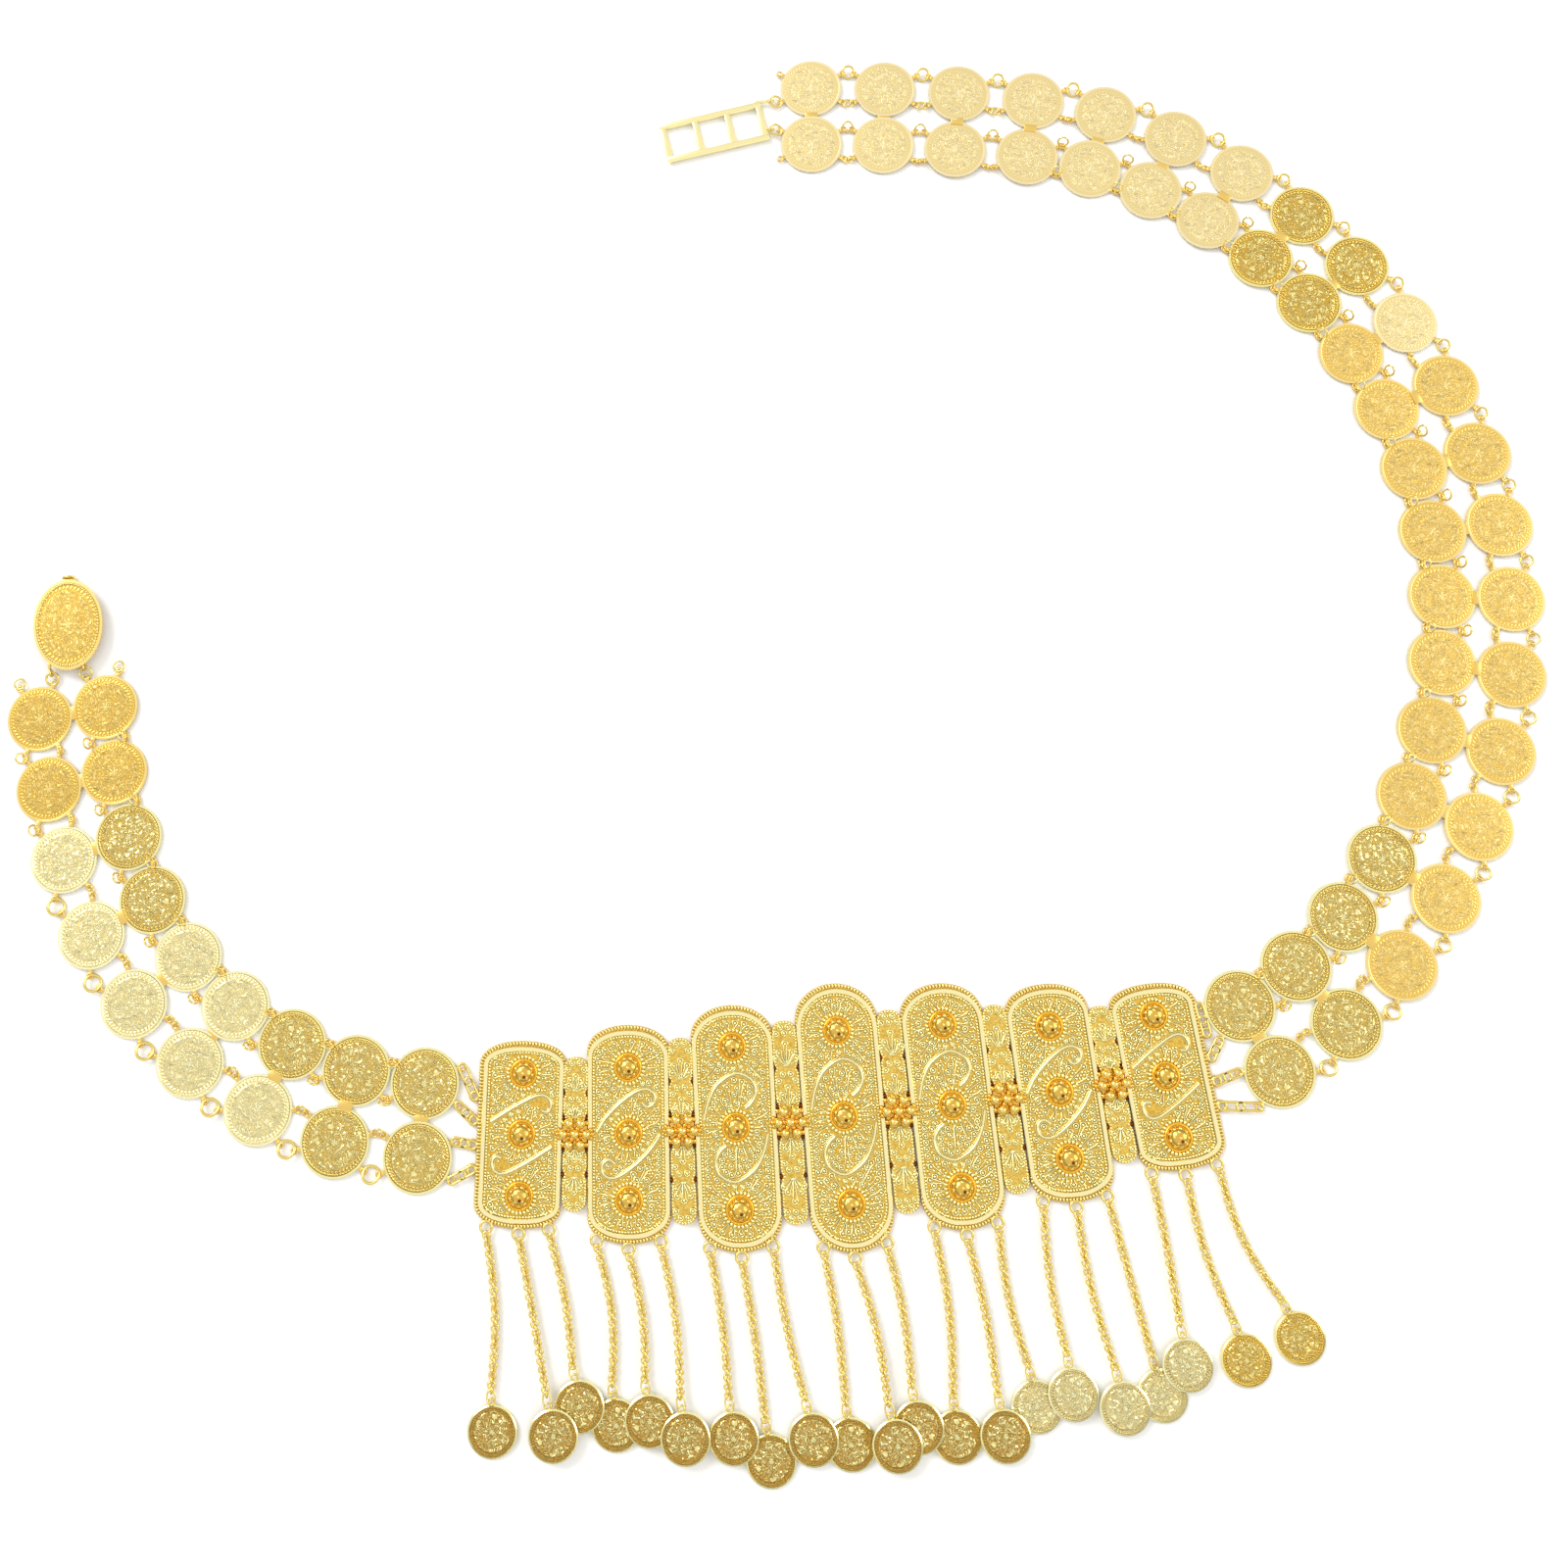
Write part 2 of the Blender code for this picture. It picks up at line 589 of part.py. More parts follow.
def lug(axis_point, along, outward, heights, edge_distance):
    """A small eye round a ring's far side with its foot to the clasp half, and the cutter of its bore."""
    axis = Vector((math.cos(along), math.sin(along), 0.0))
    place = (Matrix.Translation((axis_point[0], axis_point[1], HINGE_HEIGHT))
             @ axis.to_track_quat("Z", "Y").to_matrix().to_4x4())
    eye, bore = bmesh.new(), bmesh.new()
    bmesh.ops.create_cone(eye, cap_ends=True, segments=8, radius1=LUG_RADIUS, radius2=LUG_RADIUS,
                          depth=LUG_WIDTH, matrix=place)
    bmesh.ops.create_cone(bore, cap_ends=True, segments=8, radius1=LUG_HOLE, radius2=LUG_HOLE,
                          depth=LUG_WIDTH + 1.0, matrix=place)
    start = LUG_HOLE + 0.35
    foot = block(edge_distance - start, LUG_WIDTH * 0.8, heights[0], heights[1],
                 (axis_point[0] + outward[0] * (start + edge_distance) / 2,
                  axis_point[1] + outward[1] * (start + edge_distance) / 2),
                 math.degrees(math.atan2(outward[1], outward[0])))
    return [from_bmesh(eye), foot], from_bmesh(bore)


def clasp_frame(place, forward):
    """Hinge middle, its heading along the axis and the outward direction, on the page."""
    first, second = hinge_points(place, forward)
    middle = ((first[0] + second[0]) / 2, (first[1] + second[1]) / 2)
    along = math.atan2(first[1] - second[1], first[0] - second[0])
    outward = (math.cos(along + math.pi / 2), math.sin(along + math.pi / 2))
    return first, second, middle, along, outward


def ladder_mesh(place):
    """Frame with three windows, its two lugs round the rings of the first coin pair."""
    first, second, middle, along, outward = clasp_frame(place, -1)
    half_l, half_w = LADDER_LENGTH / 2, LADDER_WIDTH / 2
    edge = [(-half_l, -half_w), (half_l, -half_w), (half_l, half_w), (-half_l, half_w)]
    window = (LADDER_LENGTH - 4 * LADDER_BAR) / 3
    holes = []
    for k in range(3):
        x0 = -half_l + LADDER_BAR + k * (window + LADDER_BAR)
        hole = [(x0, -half_w + LADDER_BAR), (x0 + window, -half_w + LADDER_BAR),
                (x0 + window, half_w - LADDER_BAR), (x0, half_w - LADDER_BAR)]
        holes.append([placed(p, LADDER_CENTRE, LADDER_TURN) for p in hole])
    frame = outline([placed(p, LADDER_CENTRE, LADDER_TURN) for p in edge],
                    LADDER_LIFT, LADDER_LIFT + LADDER_THICK, holes)
    pieces, bores = [frame], []
    for point in (first, second):
        # distance from the axis to the frame's end bar, measured along the outward direction
        local = turned(point[0] - LADDER_CENTRE[0], point[1] - LADDER_CENTRE[1], -LADDER_TURN)
        step = turned(outward[0], outward[1], -LADDER_TURN)
        reach = (half_l - local[0]) / step[0]
        solids, bore = lug(point, along, outward, (0.5, 1.5), reach + 0.9)
        pieces += solids
        bores.append(bore)
    mesh = fused(pieces, bores)
    mesh.transform(Matrix.Translation((-middle[0] * MM, -middle[1] * MM, -HINGE_HEIGHT * MM)))
    return mesh, middle


def medallion_mesh(place):
    """Oval plate on two lugs, with a hook of flat wire under it."""
    first, second, middle, along, outward = clasp_frame(place, 1)
    if outward[1] < 0:
        outward = (-outward[0], -outward[1])
    a, b = MEDAL_HALF
    oval = [(a * math.cos(2 * math.pi * k / 16), b * math.sin(2 * math.pi * k / 16)) for k in range(16)]
    rim = [(0.84 * x, 0.88 * y) for x, y in oval]
    pieces = [outline([placed(p, MEDAL_CENTRE, MEDAL_TURN) for p in oval], MEDAL_BOTTOM, MEDAL_TOP - 0.35),
              outline([placed(p, MEDAL_CENTRE, MEDAL_TURN) for p in oval], MEDAL_TOP - 0.8, MEDAL_TOP,
                      holes=([placed(p, MEDAL_CENTRE, MEDAL_TURN) for p in rim],))]
    bores = []
    for point in (first, second):
        solids, bore = lug(point, along, outward, (2.2, 3.1), 3.6)
        pieces += solids
        bores.append(bore)
    tongue = placed((0.0, b - 6.2), MEDAL_CENTRE, MEDAL_TURN)
    foot = placed((0.0, b - 12.6), MEDAL_CENTRE, MEDAL_TURN)
    pieces.append(block(HOOK_WIDTH, 16.0, HOOK_LIFT, HOOK_LIFT + HOOK_THICK, tongue, MEDAL_TURN))
    pieces.append(block(HOOK_WIDTH, 1.4, HOOK_LIFT + 0.4, MEDAL_BOTTOM + 0.4, foot, MEDAL_TURN))
    mesh = fused(pieces, bores)
    mesh.transform(Matrix.Translation((-middle[0] * MM, -middle[1] * MM, -HINGE_HEIGHT * MM)))
    return mesh, middle


for old in list(bpy.data.objects):
    bpy.data.objects.remove(old)
chain = bpy.data.collections.new("coin_waist_chain")
drafts = bpy.data.collections.new("cutters")
bpy.context.scene.collection.children.link(chain)
bpy.context.scene.collection.children.link(drafts)

right = band_places(RIGHT_START, RIGHT_STEPS)
left = band_places(LEFT_START, LEFT_STEPS)

for band, places, steps in (("right", right, RIGHT_STEPS), ("left", left, LEFT_STEPS)):
    gaps = [None, *((pitch, turn) for count, pitch, turn in steps for _ in range(count)), None]
    shared = {}
    for i, (x, y, heading) in enumerate(places):
        kind = (gaps[i], gaps[i + 1])
        if kind not in shared:
            if None not in kind:
                extras = ()
            elif band == "right":
                extras = hinge_rings(-1) if i == 0 else plaque_links(places[i], PLAQUES[-1], 1, 1)
            elif i == 0:
                extras = plaque_links(places[i], PLAQUES[0], -1, -1)
            else:
                extras = hinge_rings(1) + free_rings()
            shared[kind] = pair_mesh(*kind, extras)
        node(f"coin_pair_{band}_{i + 1:02d}", shared[kind], "pale gold plate", (x, y), heading)

for i, row in enumerate(PLAQUES):
    side = -1 if i == 0 else 1 if i == len(PLAQUES) - 1 else 0
    node(row[0], plaque_mesh(row, side), "mid gold plate", (row[1], row[2]), row[3])
    node(f"pendants_{i + 1}", pendant_mesh(row, PENDANTS[3 * i:3 * i + 3]), "mid gold plate",
         (row[1], row[2]), row[3])

for i, length in enumerate(SPACER_LENGTHS):
    first, second = PLAQUES[i], PLAQUES[i + 1]
    middle = ((first[1] + second[1]) / 2, (first[2] + second[2]) / 2)
    node(f"spacer_{i + 1}", spacer_mesh(length), "orange gold plate", middle, (first[3] + second[3]) / 2)

ladder, ladder_hinge = ladder_mesh(right[0])
node("clasp_ladder", ladder, "pale gold plate", ladder_hinge, 0.0, HINGE_HEIGHT)
medallion, medallion_hinge = medallion_mesh(left[-1])
node("hook_medallion", medallion, "pale gold plate", medallion_hinge, 0.0, HINGE_HEIGHT)
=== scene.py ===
"""Coin waist chain: the visual model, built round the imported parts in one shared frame.

Every sub-assembly is a class that knows its measures and builds one piece. Small parts are modelled
once as templates, in millimetres, and gathered into a piece as copies with their own finish.
"""

import logging
import math
from collections.abc import Callable
from dataclasses import dataclass, field
from enum import Enum

import bpy
import numpy as np
from mathutils import Matrix, Vector

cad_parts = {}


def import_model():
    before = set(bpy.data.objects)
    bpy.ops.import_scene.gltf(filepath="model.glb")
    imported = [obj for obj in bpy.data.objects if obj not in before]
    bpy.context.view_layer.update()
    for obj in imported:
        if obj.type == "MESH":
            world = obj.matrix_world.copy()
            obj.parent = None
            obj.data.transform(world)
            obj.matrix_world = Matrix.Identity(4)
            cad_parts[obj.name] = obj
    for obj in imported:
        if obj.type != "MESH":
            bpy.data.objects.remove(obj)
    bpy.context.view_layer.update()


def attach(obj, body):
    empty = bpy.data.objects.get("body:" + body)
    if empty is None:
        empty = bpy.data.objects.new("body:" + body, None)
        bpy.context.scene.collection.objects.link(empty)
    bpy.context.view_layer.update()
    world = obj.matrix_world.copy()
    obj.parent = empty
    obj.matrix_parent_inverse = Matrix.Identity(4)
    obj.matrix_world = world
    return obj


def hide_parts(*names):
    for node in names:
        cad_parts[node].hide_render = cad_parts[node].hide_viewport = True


LOG = logging.getLogger("waist_chain")
MM = 0.001
PAGE_ORIGIN = (-4.08, 26.15)

# Band coins and the rings between them, in millimetres
COIN_RADIUS = 10.5
COIN_THICK = 0.75
COIN_LOW = 0.35
PAIR_SPAN = 21.4
NECK_WIDTH = 4.3
EYE_ANGLE = 27.0
EYE_HOLE = 12.25
HINGE_HOLE = 11.6
RING_MEAN = 1.7
RING_WIRE = 0.32
RING_LEVEL = 0.95
# lean of a ring in degrees: the least, the step by which it varies and that of a ring in a narrow gap
RING_LEAN = 38
RING_LEAN_STEP = 14
RING_LEAN_CLOSE = 66
RING_ROOM = 0.55
COIN_TILT = 1.4
HINGE_RING_RISE = 13.5
HINGE_RING_MEAN = 2.15
HINGE_RING_FOOT = 0.72
HINGE_RING_SPAN = HINGE_RING_MEAN * (1 + math.cos(math.pi / 6))
HINGE_REACH = HINGE_RING_SPAN * math.cos(math.radians(HINGE_RING_RISE))
HINGE_HEIGHT = HINGE_RING_FOOT + HINGE_RING_SPAN * math.sin(math.radians(HINGE_RING_RISE))
# coin (+1 outer, -1 inner) and side of that coin, from the outer edge to the inner edge
EYELETS = ((1, 1), (1, -1), (-1, 1), (-1, -1))

# first pair (page x, page y, heading), then number of gaps, pitch and turn in each of them
RIGHT_START = (13.2, 231.3, -0.5)
RIGHT_STEPS = ((3, 25.1, 2.7), (3, 23.3, 9.3), (4, 23.2, 7.9), (4, 22.9, 8.1), (4, 23.5, 7.7),
               (2, 23.1, 10.2))
LEFT_START = (-110.8, -101.3, 176.0)
LEFT_STEPS = ((6, 23.5, 11.1), (2, 22.3, 4.6))

# Long oval links at both ends of the row of plaques
LONG_LINK_HALF = 1.15
LONG_LINK_WIRE = 0.4
LONG_LINK_LEVEL = 1.15

# Shape of a coin: its rim, the soft swell of its middle and the reeds of its edge, on a band coin
RIM_MIDDLE = 9.95
RIM_SPREAD = 0.40
RIM_HEIGHT = 0.20
SWELL_SPREAD = 5.6
SWELL_HEIGHT = 0.10
EDGE_START = 10.4
EDGE_DROP = 0.16
REED_DEPTH = 0.009

# Relief of a coin's face: places as shares of its radius, sizes on a band coin in millimetres
RIM_START = 0.915
DOT_RING = 0.885
DOT_RING_HALF = 0.025
DOT_COUNT = 64
WREATH_RING = 0.82
WREATH_HALF = 0.045
WREATH_LEAVES = 46
WREATH_SPINE = 0.78
LEAF_LEAN = 30.0
STROKE_EDGE = 0.79
STROKE_BEND = 2.386
STROKES_PER_BEND = 58.0
LUMP_SIZE = 1.0
ROSETTE_REACH = 0.11
ROSETTE_SWING = 0.05
ROSETTE_PETALS = 6
# a cast ground's grain is finer: this is as coarse as it needs to show
GRAIN_SIZE = 0.625


class Scroll(Enum):
    """How the scroll wires of a plaque run."""

    HOOK = "hook"
    COMMA = "comma"
    OVAL = "oval"


@dataclass(frozen=True)
class PlaqueSize:
    """Place and size of a plaque.

    Attributes:
        name: Name of its CAD node.
        x: Page x of its middle.
        y: Page y of its middle.
        tilt: Its turn on the page, in degrees.
        length: Its length.
        rise: How far its rounded ends rise.
        pitch: Distance of its bosses.
        scroll: How its scroll wires run.
    """

    name: str
    x: float
    y: float
    tilt: float
    length: float
    rise: float
    pitch: float
    scroll: Scroll


# Plaques
PLAQUE_HALF = 12.15
PLAQUE_END_HALF = 13.4
SIDE_RING_OUT = 14.6
PETAL_HEAD = 0.86
PETAL_COUNT = 17
CURL_PITCH = 1.9
SIDE_RING_PITCH = 7.0
FIELD_LEVEL = 1.05
WIRE_FOOT = 1.0
WIRE_RISE = 0.36
BAND_TOP = 1.9
BAND_WIDTH = 1.35
COLLAR_RADIUS = 4.75
COLLAR_BEADS = 26
COLLAR_BEAD = (0.66, 0.5, 0.6, 1.0)
BORDER_BEAD = (0.86, 0.44, 0.46, 1.0)
BORDER_LENGTH = 3.0
BORDER_RISE = 1.2
# a flat end is squarer: power of its curve, and the rise at which it is a true arc
ROUND_LEAST = 0.78
ROUND_RISE = 13.0
DOME_RADIUS = 3.0
DOME_HEIGHT = 2.3
GRANULE_REACH = 0.95 * DOME_RADIUS
GRANULE_HEIGHT = 2.1
PLAQUE_SIZES = (
    PlaqueSize("plaque_1", -80.3, -104.9, -1.0, 53.4, 7.0, 17.5, Scroll.HOOK),
    PlaqueSize("plaque_2", -48.2, -104.4, 0.8, 62.2, 9.4, 18.9, Scroll.COMMA),
    PlaqueSize("plaque_3", -16.1, -102.4, 2.4, 70.2, 11.4, 23.2, Scroll.OVAL),
    PlaqueSize("plaque_4", 16.1, -99.0, 3.6, 76.6, 13.0, 24.7, Scroll.OVAL),
    PlaqueSize("plaque_5", 48.3, -95.6, 4.8, 70.2, 11.4, 23.2, Scroll.OVAL),
    PlaqueSize("plaque_6", 80.2, -91.6, 6.0, 62.2, 9.4, 18.9, Scroll.COMMA),
    PlaqueSize("plaque_7", 111.9, -86.9, 8.0, 53.4, 7.0, 17.5, Scroll.HOOK),
)
# Scroll wire of the upper half (x, y), turned by half a turn for the lower half; y grows with the pitch
SCROLLS = {
    Scroll.HOOK: ((-9.3, 3.4), (-3.2, 7.3), (1.5, 9.9), (4.0, 11.0), (6.3, 11.3), (8.1, 10.1), (8.6, 8.1),
                  (7.5, 6.5), (5.8, 6.9)),
    Scroll.COMMA: ((-9.5, 0.4), (-6.6, 4.6), (-2.2, 8.8), (2.6, 12.0), (5.8, 12.6), (7.9, 11.0), (7.7, 8.5),
                   (5.6, 7.4), (4.1, 8.8)),
    Scroll.OVAL: ((-9.5, 2.3), (-7.9, 8.0), (-4.8, 13.2), (0.8, 16.4), (5.4, 14.2), (6.5, 10.4), (5.0, 7.2),
                  (3.1, 5.6)),
}
SCROLL_PITCH = {Scroll.HOOK: 17.5, Scroll.COMMA: 18.9, Scroll.OVAL: 24.7}
# Bare ground inside the bend of a hook: its middle, then its width and height
HOOK_GAP = (4.8, 9.3)
HOOK_GAP_SIZE = (5.6, 2.4)

# Spacers
SPACER_HALF = 3.75
SPACER_TOP = 1.4
SPACER_LENGTHS = (44.0, 53.0, 58.0, 58.0, 54.0, 45.0)
HUB_HALF = 4.3
PALMETTE_FAN = 24.0
BALL_PITCH = 3.5
BALL_RADIUS = 1.45
BALL_LEVEL = 3.3
SMALL_BALL_RADIUS = 0.8

# Pendants: coin centre on the page, level in the overlap, bow of the chain
PENDANT_RADIUS = 7.2
TOP_RING_SPREAD = 9.3
TOP_RING_OUT = 1.35
TOP_RING_LEVEL = 1.2
CHAIN_START = 1.6
CHAIN_END = 3.4
LINK_PITCH = 1.27
LINK_SWING = 18.0
LEVEL_LOW = 0.3
LEVEL_STEP = 1.2
PENDANT_ROWS = (
    (-87.0, -186.5, 0, 1.9), (-69.2, -186.8, 2, 0.2), (-61.8, -179.3, 1, 1.2),
    (-51.2, -184.3, 0, 2.2), (-41.6, -182.8, 1, 1.7), (-31.3, -187.0, 2, 1.5),
    (-17.5, -187.0, 1, 0.9), (-6.9, -193.0, 0, 0.5), (5.2, -187.0, 1, -0.8),
    (16.0, -188.4, 0, 0.9), (28.9, -188.0, 2, 1.4), (35.2, -183.4, 1, 1.2),
    (46.2, -186.0, 0, 1.6), (59.7, -185.3, 1, 1.0), (69.2, -177.8, 0, -1.4),
    (79.4, -174.2, 1, -1.4), (93.8, -177.6, 1, -1.3), (104.9, -174.4, 0, 0.0),
    (112.3, -166.1, 1, 0.4), (129.3, -164.8, 0, -1.6), (145.0, -158.8, 0, -2.6),
)

# Clasp
LUG_MEAN = 1.15
LUG_WIRE = 0.38

# Camera: place over the page, tilt, direction of the tilt and shift of the picture
CAMERA_PAGE = (-26.17, -53.19)
CAMERA_HEIGHT = 494.77
CAMERA_TILT = 13.436
CAMERA_AXIS = (0.98731, -0.15884, 0.0)
CAMERA_SHIFT = (0.0906, -0.1251)

# Light: share of the way up from straight below to straight above, and how bright it is there
SKY_STOPS = ((0.0, 0.42), (0.25, 0.46), (0.45, 0.74), (0.66, 0.93), (0.82, 0.97), (1.0, 0.97))
SKY_TINT = (1.0, 0.992, 0.975)
# name, direction it comes from, spread in degrees, power
LIGHTS = (("key", (-0.8, 0.75, 0.85), 30, 1.6), ("fill", (1.0, 0.2, 0.6), 35, 0.8))


def to_linear(code: str) -> tuple[float, float, float, float]:
    """Turns an sRGB hex colour into linear values.

    Args:
        code: Six hex digits after a hash sign.

    Returns:
        Red, green, blue and alpha.
    """
    parts = [int(code[i:i + 2], 16) / 255 for i in (1, 3, 5)]
    return (*(p / 12.92 if p <= 0.04045 else ((p + 0.055) / 1.055) ** 2.4 for p in parts), 1.0)


class Pattern(Enum):
    """What is worked into a finish's surface, or painted on it as shade."""

    GRAIN = "fine grain"
    STRUCK = "struck relief on a coin's face"
    SMOOTH = "smooth"
    # painted shade: the colour goes darker towards the ground, by height alone
    FOOT_SHADE = "darker towards the ground"


@dataclass(frozen=True)
class Finish:
    """A gold finish.

    Attributes:
        name: Name of the material.
        high: sRGB colour of its raised parts, a painted highlight on coins and wire.
        low: sRGB colour of its sunk parts, where it has them: painted shade on coins and wire, the grain's
            own colour on a matt ground.
        roughness: Roughness of the metal.
        pattern: What is worked into the surface.
        depth: Depth of that work, in millimetres.
        fineness: How fine a coin's strokes are for its size.
    """

    name: str
    high: str
    low: str = ""
    roughness: float = 0.3
    pattern: Pattern = Pattern.SMOOTH
    depth: float = 0.0
    fineness: float = 1.0


class Gold(Enum):
    """The finishes of the chain, all of them gold plate on stamped or drawn brass.

    The coins are one metal, which looks paler or deeper as each coin lies in the light: each coin's tone is
    that light and shade, painted into its finish.
    """

    # coins that lie square to the light: a painted even satin sheen with faint strokes
    COIN_PALE = Finish("gold plate, struck, painted even sheen", "#F6E6B8", "#ECD592", 0.36, Pattern.STRUCK, 0.05)
    COIN_WARM = Finish("gold plate, struck, painted warm shade", "#F6DE96", "#E6BE5E", 0.34, Pattern.STRUCK, 0.08)
    COIN_BRASS = Finish("gold plate, struck, painted dull shade", "#F0D688", "#D4AC4C", 0.33, Pattern.STRUCK, 0.09)
    # coins shown as if tipped towards the light: painted light, bright strokes over a pale ground
    COIN_BRIGHT = Finish("gold plate, deeply struck, painted bright light", "#FFFCCA", "#EAD48E", 0.18,
                         Pattern.STRUCK, 0.42, 0.7)
    COIN_LIGHT = Finish("gold plate, struck, painted light", "#FFF8C6", "#F2E09C", 0.28, Pattern.STRUCK, 0.20, 0.9)
    # coins shown as if tipped away: painted shade turns the polished ground olive and the strokes stand out
    COIN_MID = Finish("gold plate, struck, painted mid shade", "#FFF6B2", "#DEBA5A", 0.19, Pattern.STRUCK, 0.38, 0.85)
    COIN_OLIVE = Finish("gold plate, struck, painted olive shade", "#FFF2A6", "#DAAE40", 0.22, Pattern.STRUCK, 0.32, 0.8)
    COIN_DEEP = Finish("gold plate, struck, painted deep olive shade", "#FFFAB4", "#C6983A", 0.17,
                       Pattern.STRUCK, 0.48, 0.66)
    # sheared edges, eyelets and necks of the coins: plain plate with a soft sheen
    EDGE = Finish("gold plate, coin edge", "#EFCB72", roughness=0.30)
    # stamped plates under the filigree: matt and a shade deeper, so that the wire shows
    GROUND = Finish("gold plate, matt ground", "#F8D468", "#BC8A24", 0.40, Pattern.GRAIN, 0.05)
    LEAF = Finish("gold plate, palmette ground", "#F8DA74", "#BE8E28", 0.42, Pattern.GRAIN, 0.05)
    # burnished band and scrolls: pale, with long highlights
    BAND = Finish("gold plate, polished band", "#FFF2B4", roughness=0.20)
    # drawn wire and granules soldered to a plate, and the ridged border: painted shade, bright on top and
    # brown towards the plate
    WIRE = Finish("gold plate, filigree wire", "#FFFABC", "#7A4E10", 0.26, Pattern.FOOT_SHADE)
    RIDGE = Finish("gold plate, ridged border", "#F8E08C", "#986C1E", 0.28, Pattern.FOOT_SHADE)
    # drawn round wire of rings and chains
    RING = Finish("gold plate, round wire", "#F2D980", roughness=0.24)
    # thicker, redder plate in the recess round a dome
    RECESS = Finish("deep gold plate, recess", "#F0B63E", roughness=0.34)
    RECESS_RING = Finish("deep gold plate, ring of the recess", "#F8C850", roughness=0.26)
    # polished domes and their granules: small sharp highlights
    DOME = Finish("gold plate, polished dome", "#E3B854", roughness=0.18)
    GRANULE = Finish("gold plate, polished granule", "#F6DE88", roughness=0.18)
    # balls of the clusters, of the same redder plate
    BALL = Finish("orange gold plate, balls", "#F8D87A", roughness=0.18)
    AMBER = Finish("orange gold plate, small balls", "#EABC58", roughness=0.24)
    # painted shade in the joints of the spacers, and a painted dark reflection on each dome
    SHADE = Finish("dark gold plate, painted shade and reflection", "#7A3E16", roughness=0.45)


# Granules on a dome, from its top down: number, angle from the top, radius, turn of the row, finish
GRANULE_ROWS = (
    (1, 0.0, 0.62, 0.3, Gold.GRANULE),
    (5, 34.0, 0.62, 0.3, Gold.GRANULE),
    (9, 63.0, 0.62, 0.8, Gold.GRANULE),
    (11, 90.0, 0.42, 0.8, Gold.DOME),
)
# Wires of a scroll: distance from its middle line, radius, level over the ground, finish
SCROLL_WIRES = (
    (0.0, 0.42, 0.40, Gold.BAND),
    (0.62, 0.15, 0.14, Gold.WIRE),
    (-0.62, 0.15, 0.14, Gold.WIRE),
)
TONES = {
    "P": Gold.COIN_PALE, "W": Gold.COIN_WARM, "B": Gold.COIN_BRASS, "H": Gold.COIN_BRIGHT,
    "L": Gold.COIN_LIGHT, "M": Gold.COIN_MID, "O": Gold.COIN_OLIVE, "D": Gold.COIN_DEEP,
}
# Tones of the outer and the inner coins of each band, in order, and of the pendants' coins: the painted light
# and shade of each coin
BAND_TONES = {
    "right": ("PPPPPPPOOPWWWWWWWWWMM", "PPPPPPPOOWWWWWWWWMMMM"),
    "left": ("MMLLLLLBB", "MMMLLMMBB"),
}
PENDANT_TONES = "DDDDDDDDDDDDDDHHHHHOO"


class Graph:
    """A node tree, with short calls for its nodes."""

    def __init__(self, tree: bpy.types.NodeTree) -> None:
        """Takes over a material's or a world's tree."""
        self.tree = tree

    def add(self, kind: str, **settings: object) -> bpy.types.Node:
        """Adds a node.

        Args:
            kind: The node's type, without its prefix.
            **settings: Its properties.

        Returns:
            The node.
        """
        node = self.tree.nodes.new("ShaderNode" + kind)
        for key, value in settings.items():
            setattr(node, key, value)
        return node

    def put(self, socket: bpy.types.NodeSocket, value: object) -> None:
        """Links a socket into another, or sets its value.

        Args:
            socket: The input.
            value: An output, a number or a colour.
        """
        if isinstance(value, bpy.types.NodeSocket):
            self.tree.links.new(value, socket)
        else:
            socket.default_value = value

    def calc(self, operation: str, *values: object, clamp: bool = False) -> bpy.types.NodeSocket:
        """A math node.

        Args:
            operation: Its operation.
            *values: Its inputs.
            clamp: Keeps the result between 0 and 1.

        Returns:
            The node's output.
        """
        node = self.add("Math", operation=operation, use_clamp=clamp)
        for socket, value in zip(node.inputs, values):
            self.put(socket, value)
        return node.outputs[0]

    def blend(self, height: bpy.types.NodeSocket, finish: Finish) -> bpy.types.NodeSocket:
        """A finish's colour at a height, which paints shade into the low parts of coins and wire.

        Args:
            height: Height from 0 to 1.
            finish: The finish.

        Returns:
            The colour.
        """
        mix = self.add("Mix", data_type="RGBA")
        self.put(mix.inputs["Factor"], height)
        self.put(mix.inputs[6], to_linear(finish.low))
        self.put(mix.inputs[7], to_linear(finish.high))
        return mix.outputs[2]

    def hump(self, value: bpy.types.NodeSocket, middle: float, half: float) -> bpy.types.NodeSocket:
        """A smooth hump: 1 at the middle and 0 from half away on.

        Args:
            value: What is measured.
            middle: Where the hump is.
            half: Its half width.

        Returns:
            The hump's height.
        """
        away = self.calc("DIVIDE", self.calc("ABSOLUTE", self.calc("SUBTRACT", value, middle)), half)
        return self.calc("SUBTRACT", 1.0, self.calc("POWER", away, 2.0), clamp=True)


def foot_shade_mask(graph: Graph) -> bpy.types.NodeSocket:
    """Height over the ground of the filigree, from its foot to its top: the mask of the painted shade at a
    wire's foot.

    Args:
        graph: The material's graph.

    Returns:
        Height from 0 to 1.
    """
    place = graph.add("TexCoord")
    axes = graph.add("SeparateXYZ")
    graph.put(axes.inputs[0], place.outputs["Object"])
    above = graph.calc("SUBTRACT", axes.outputs[2], WIRE_FOOT * MM)
    return graph.calc("DIVIDE", above, WIRE_RISE * MM, clamp=True)


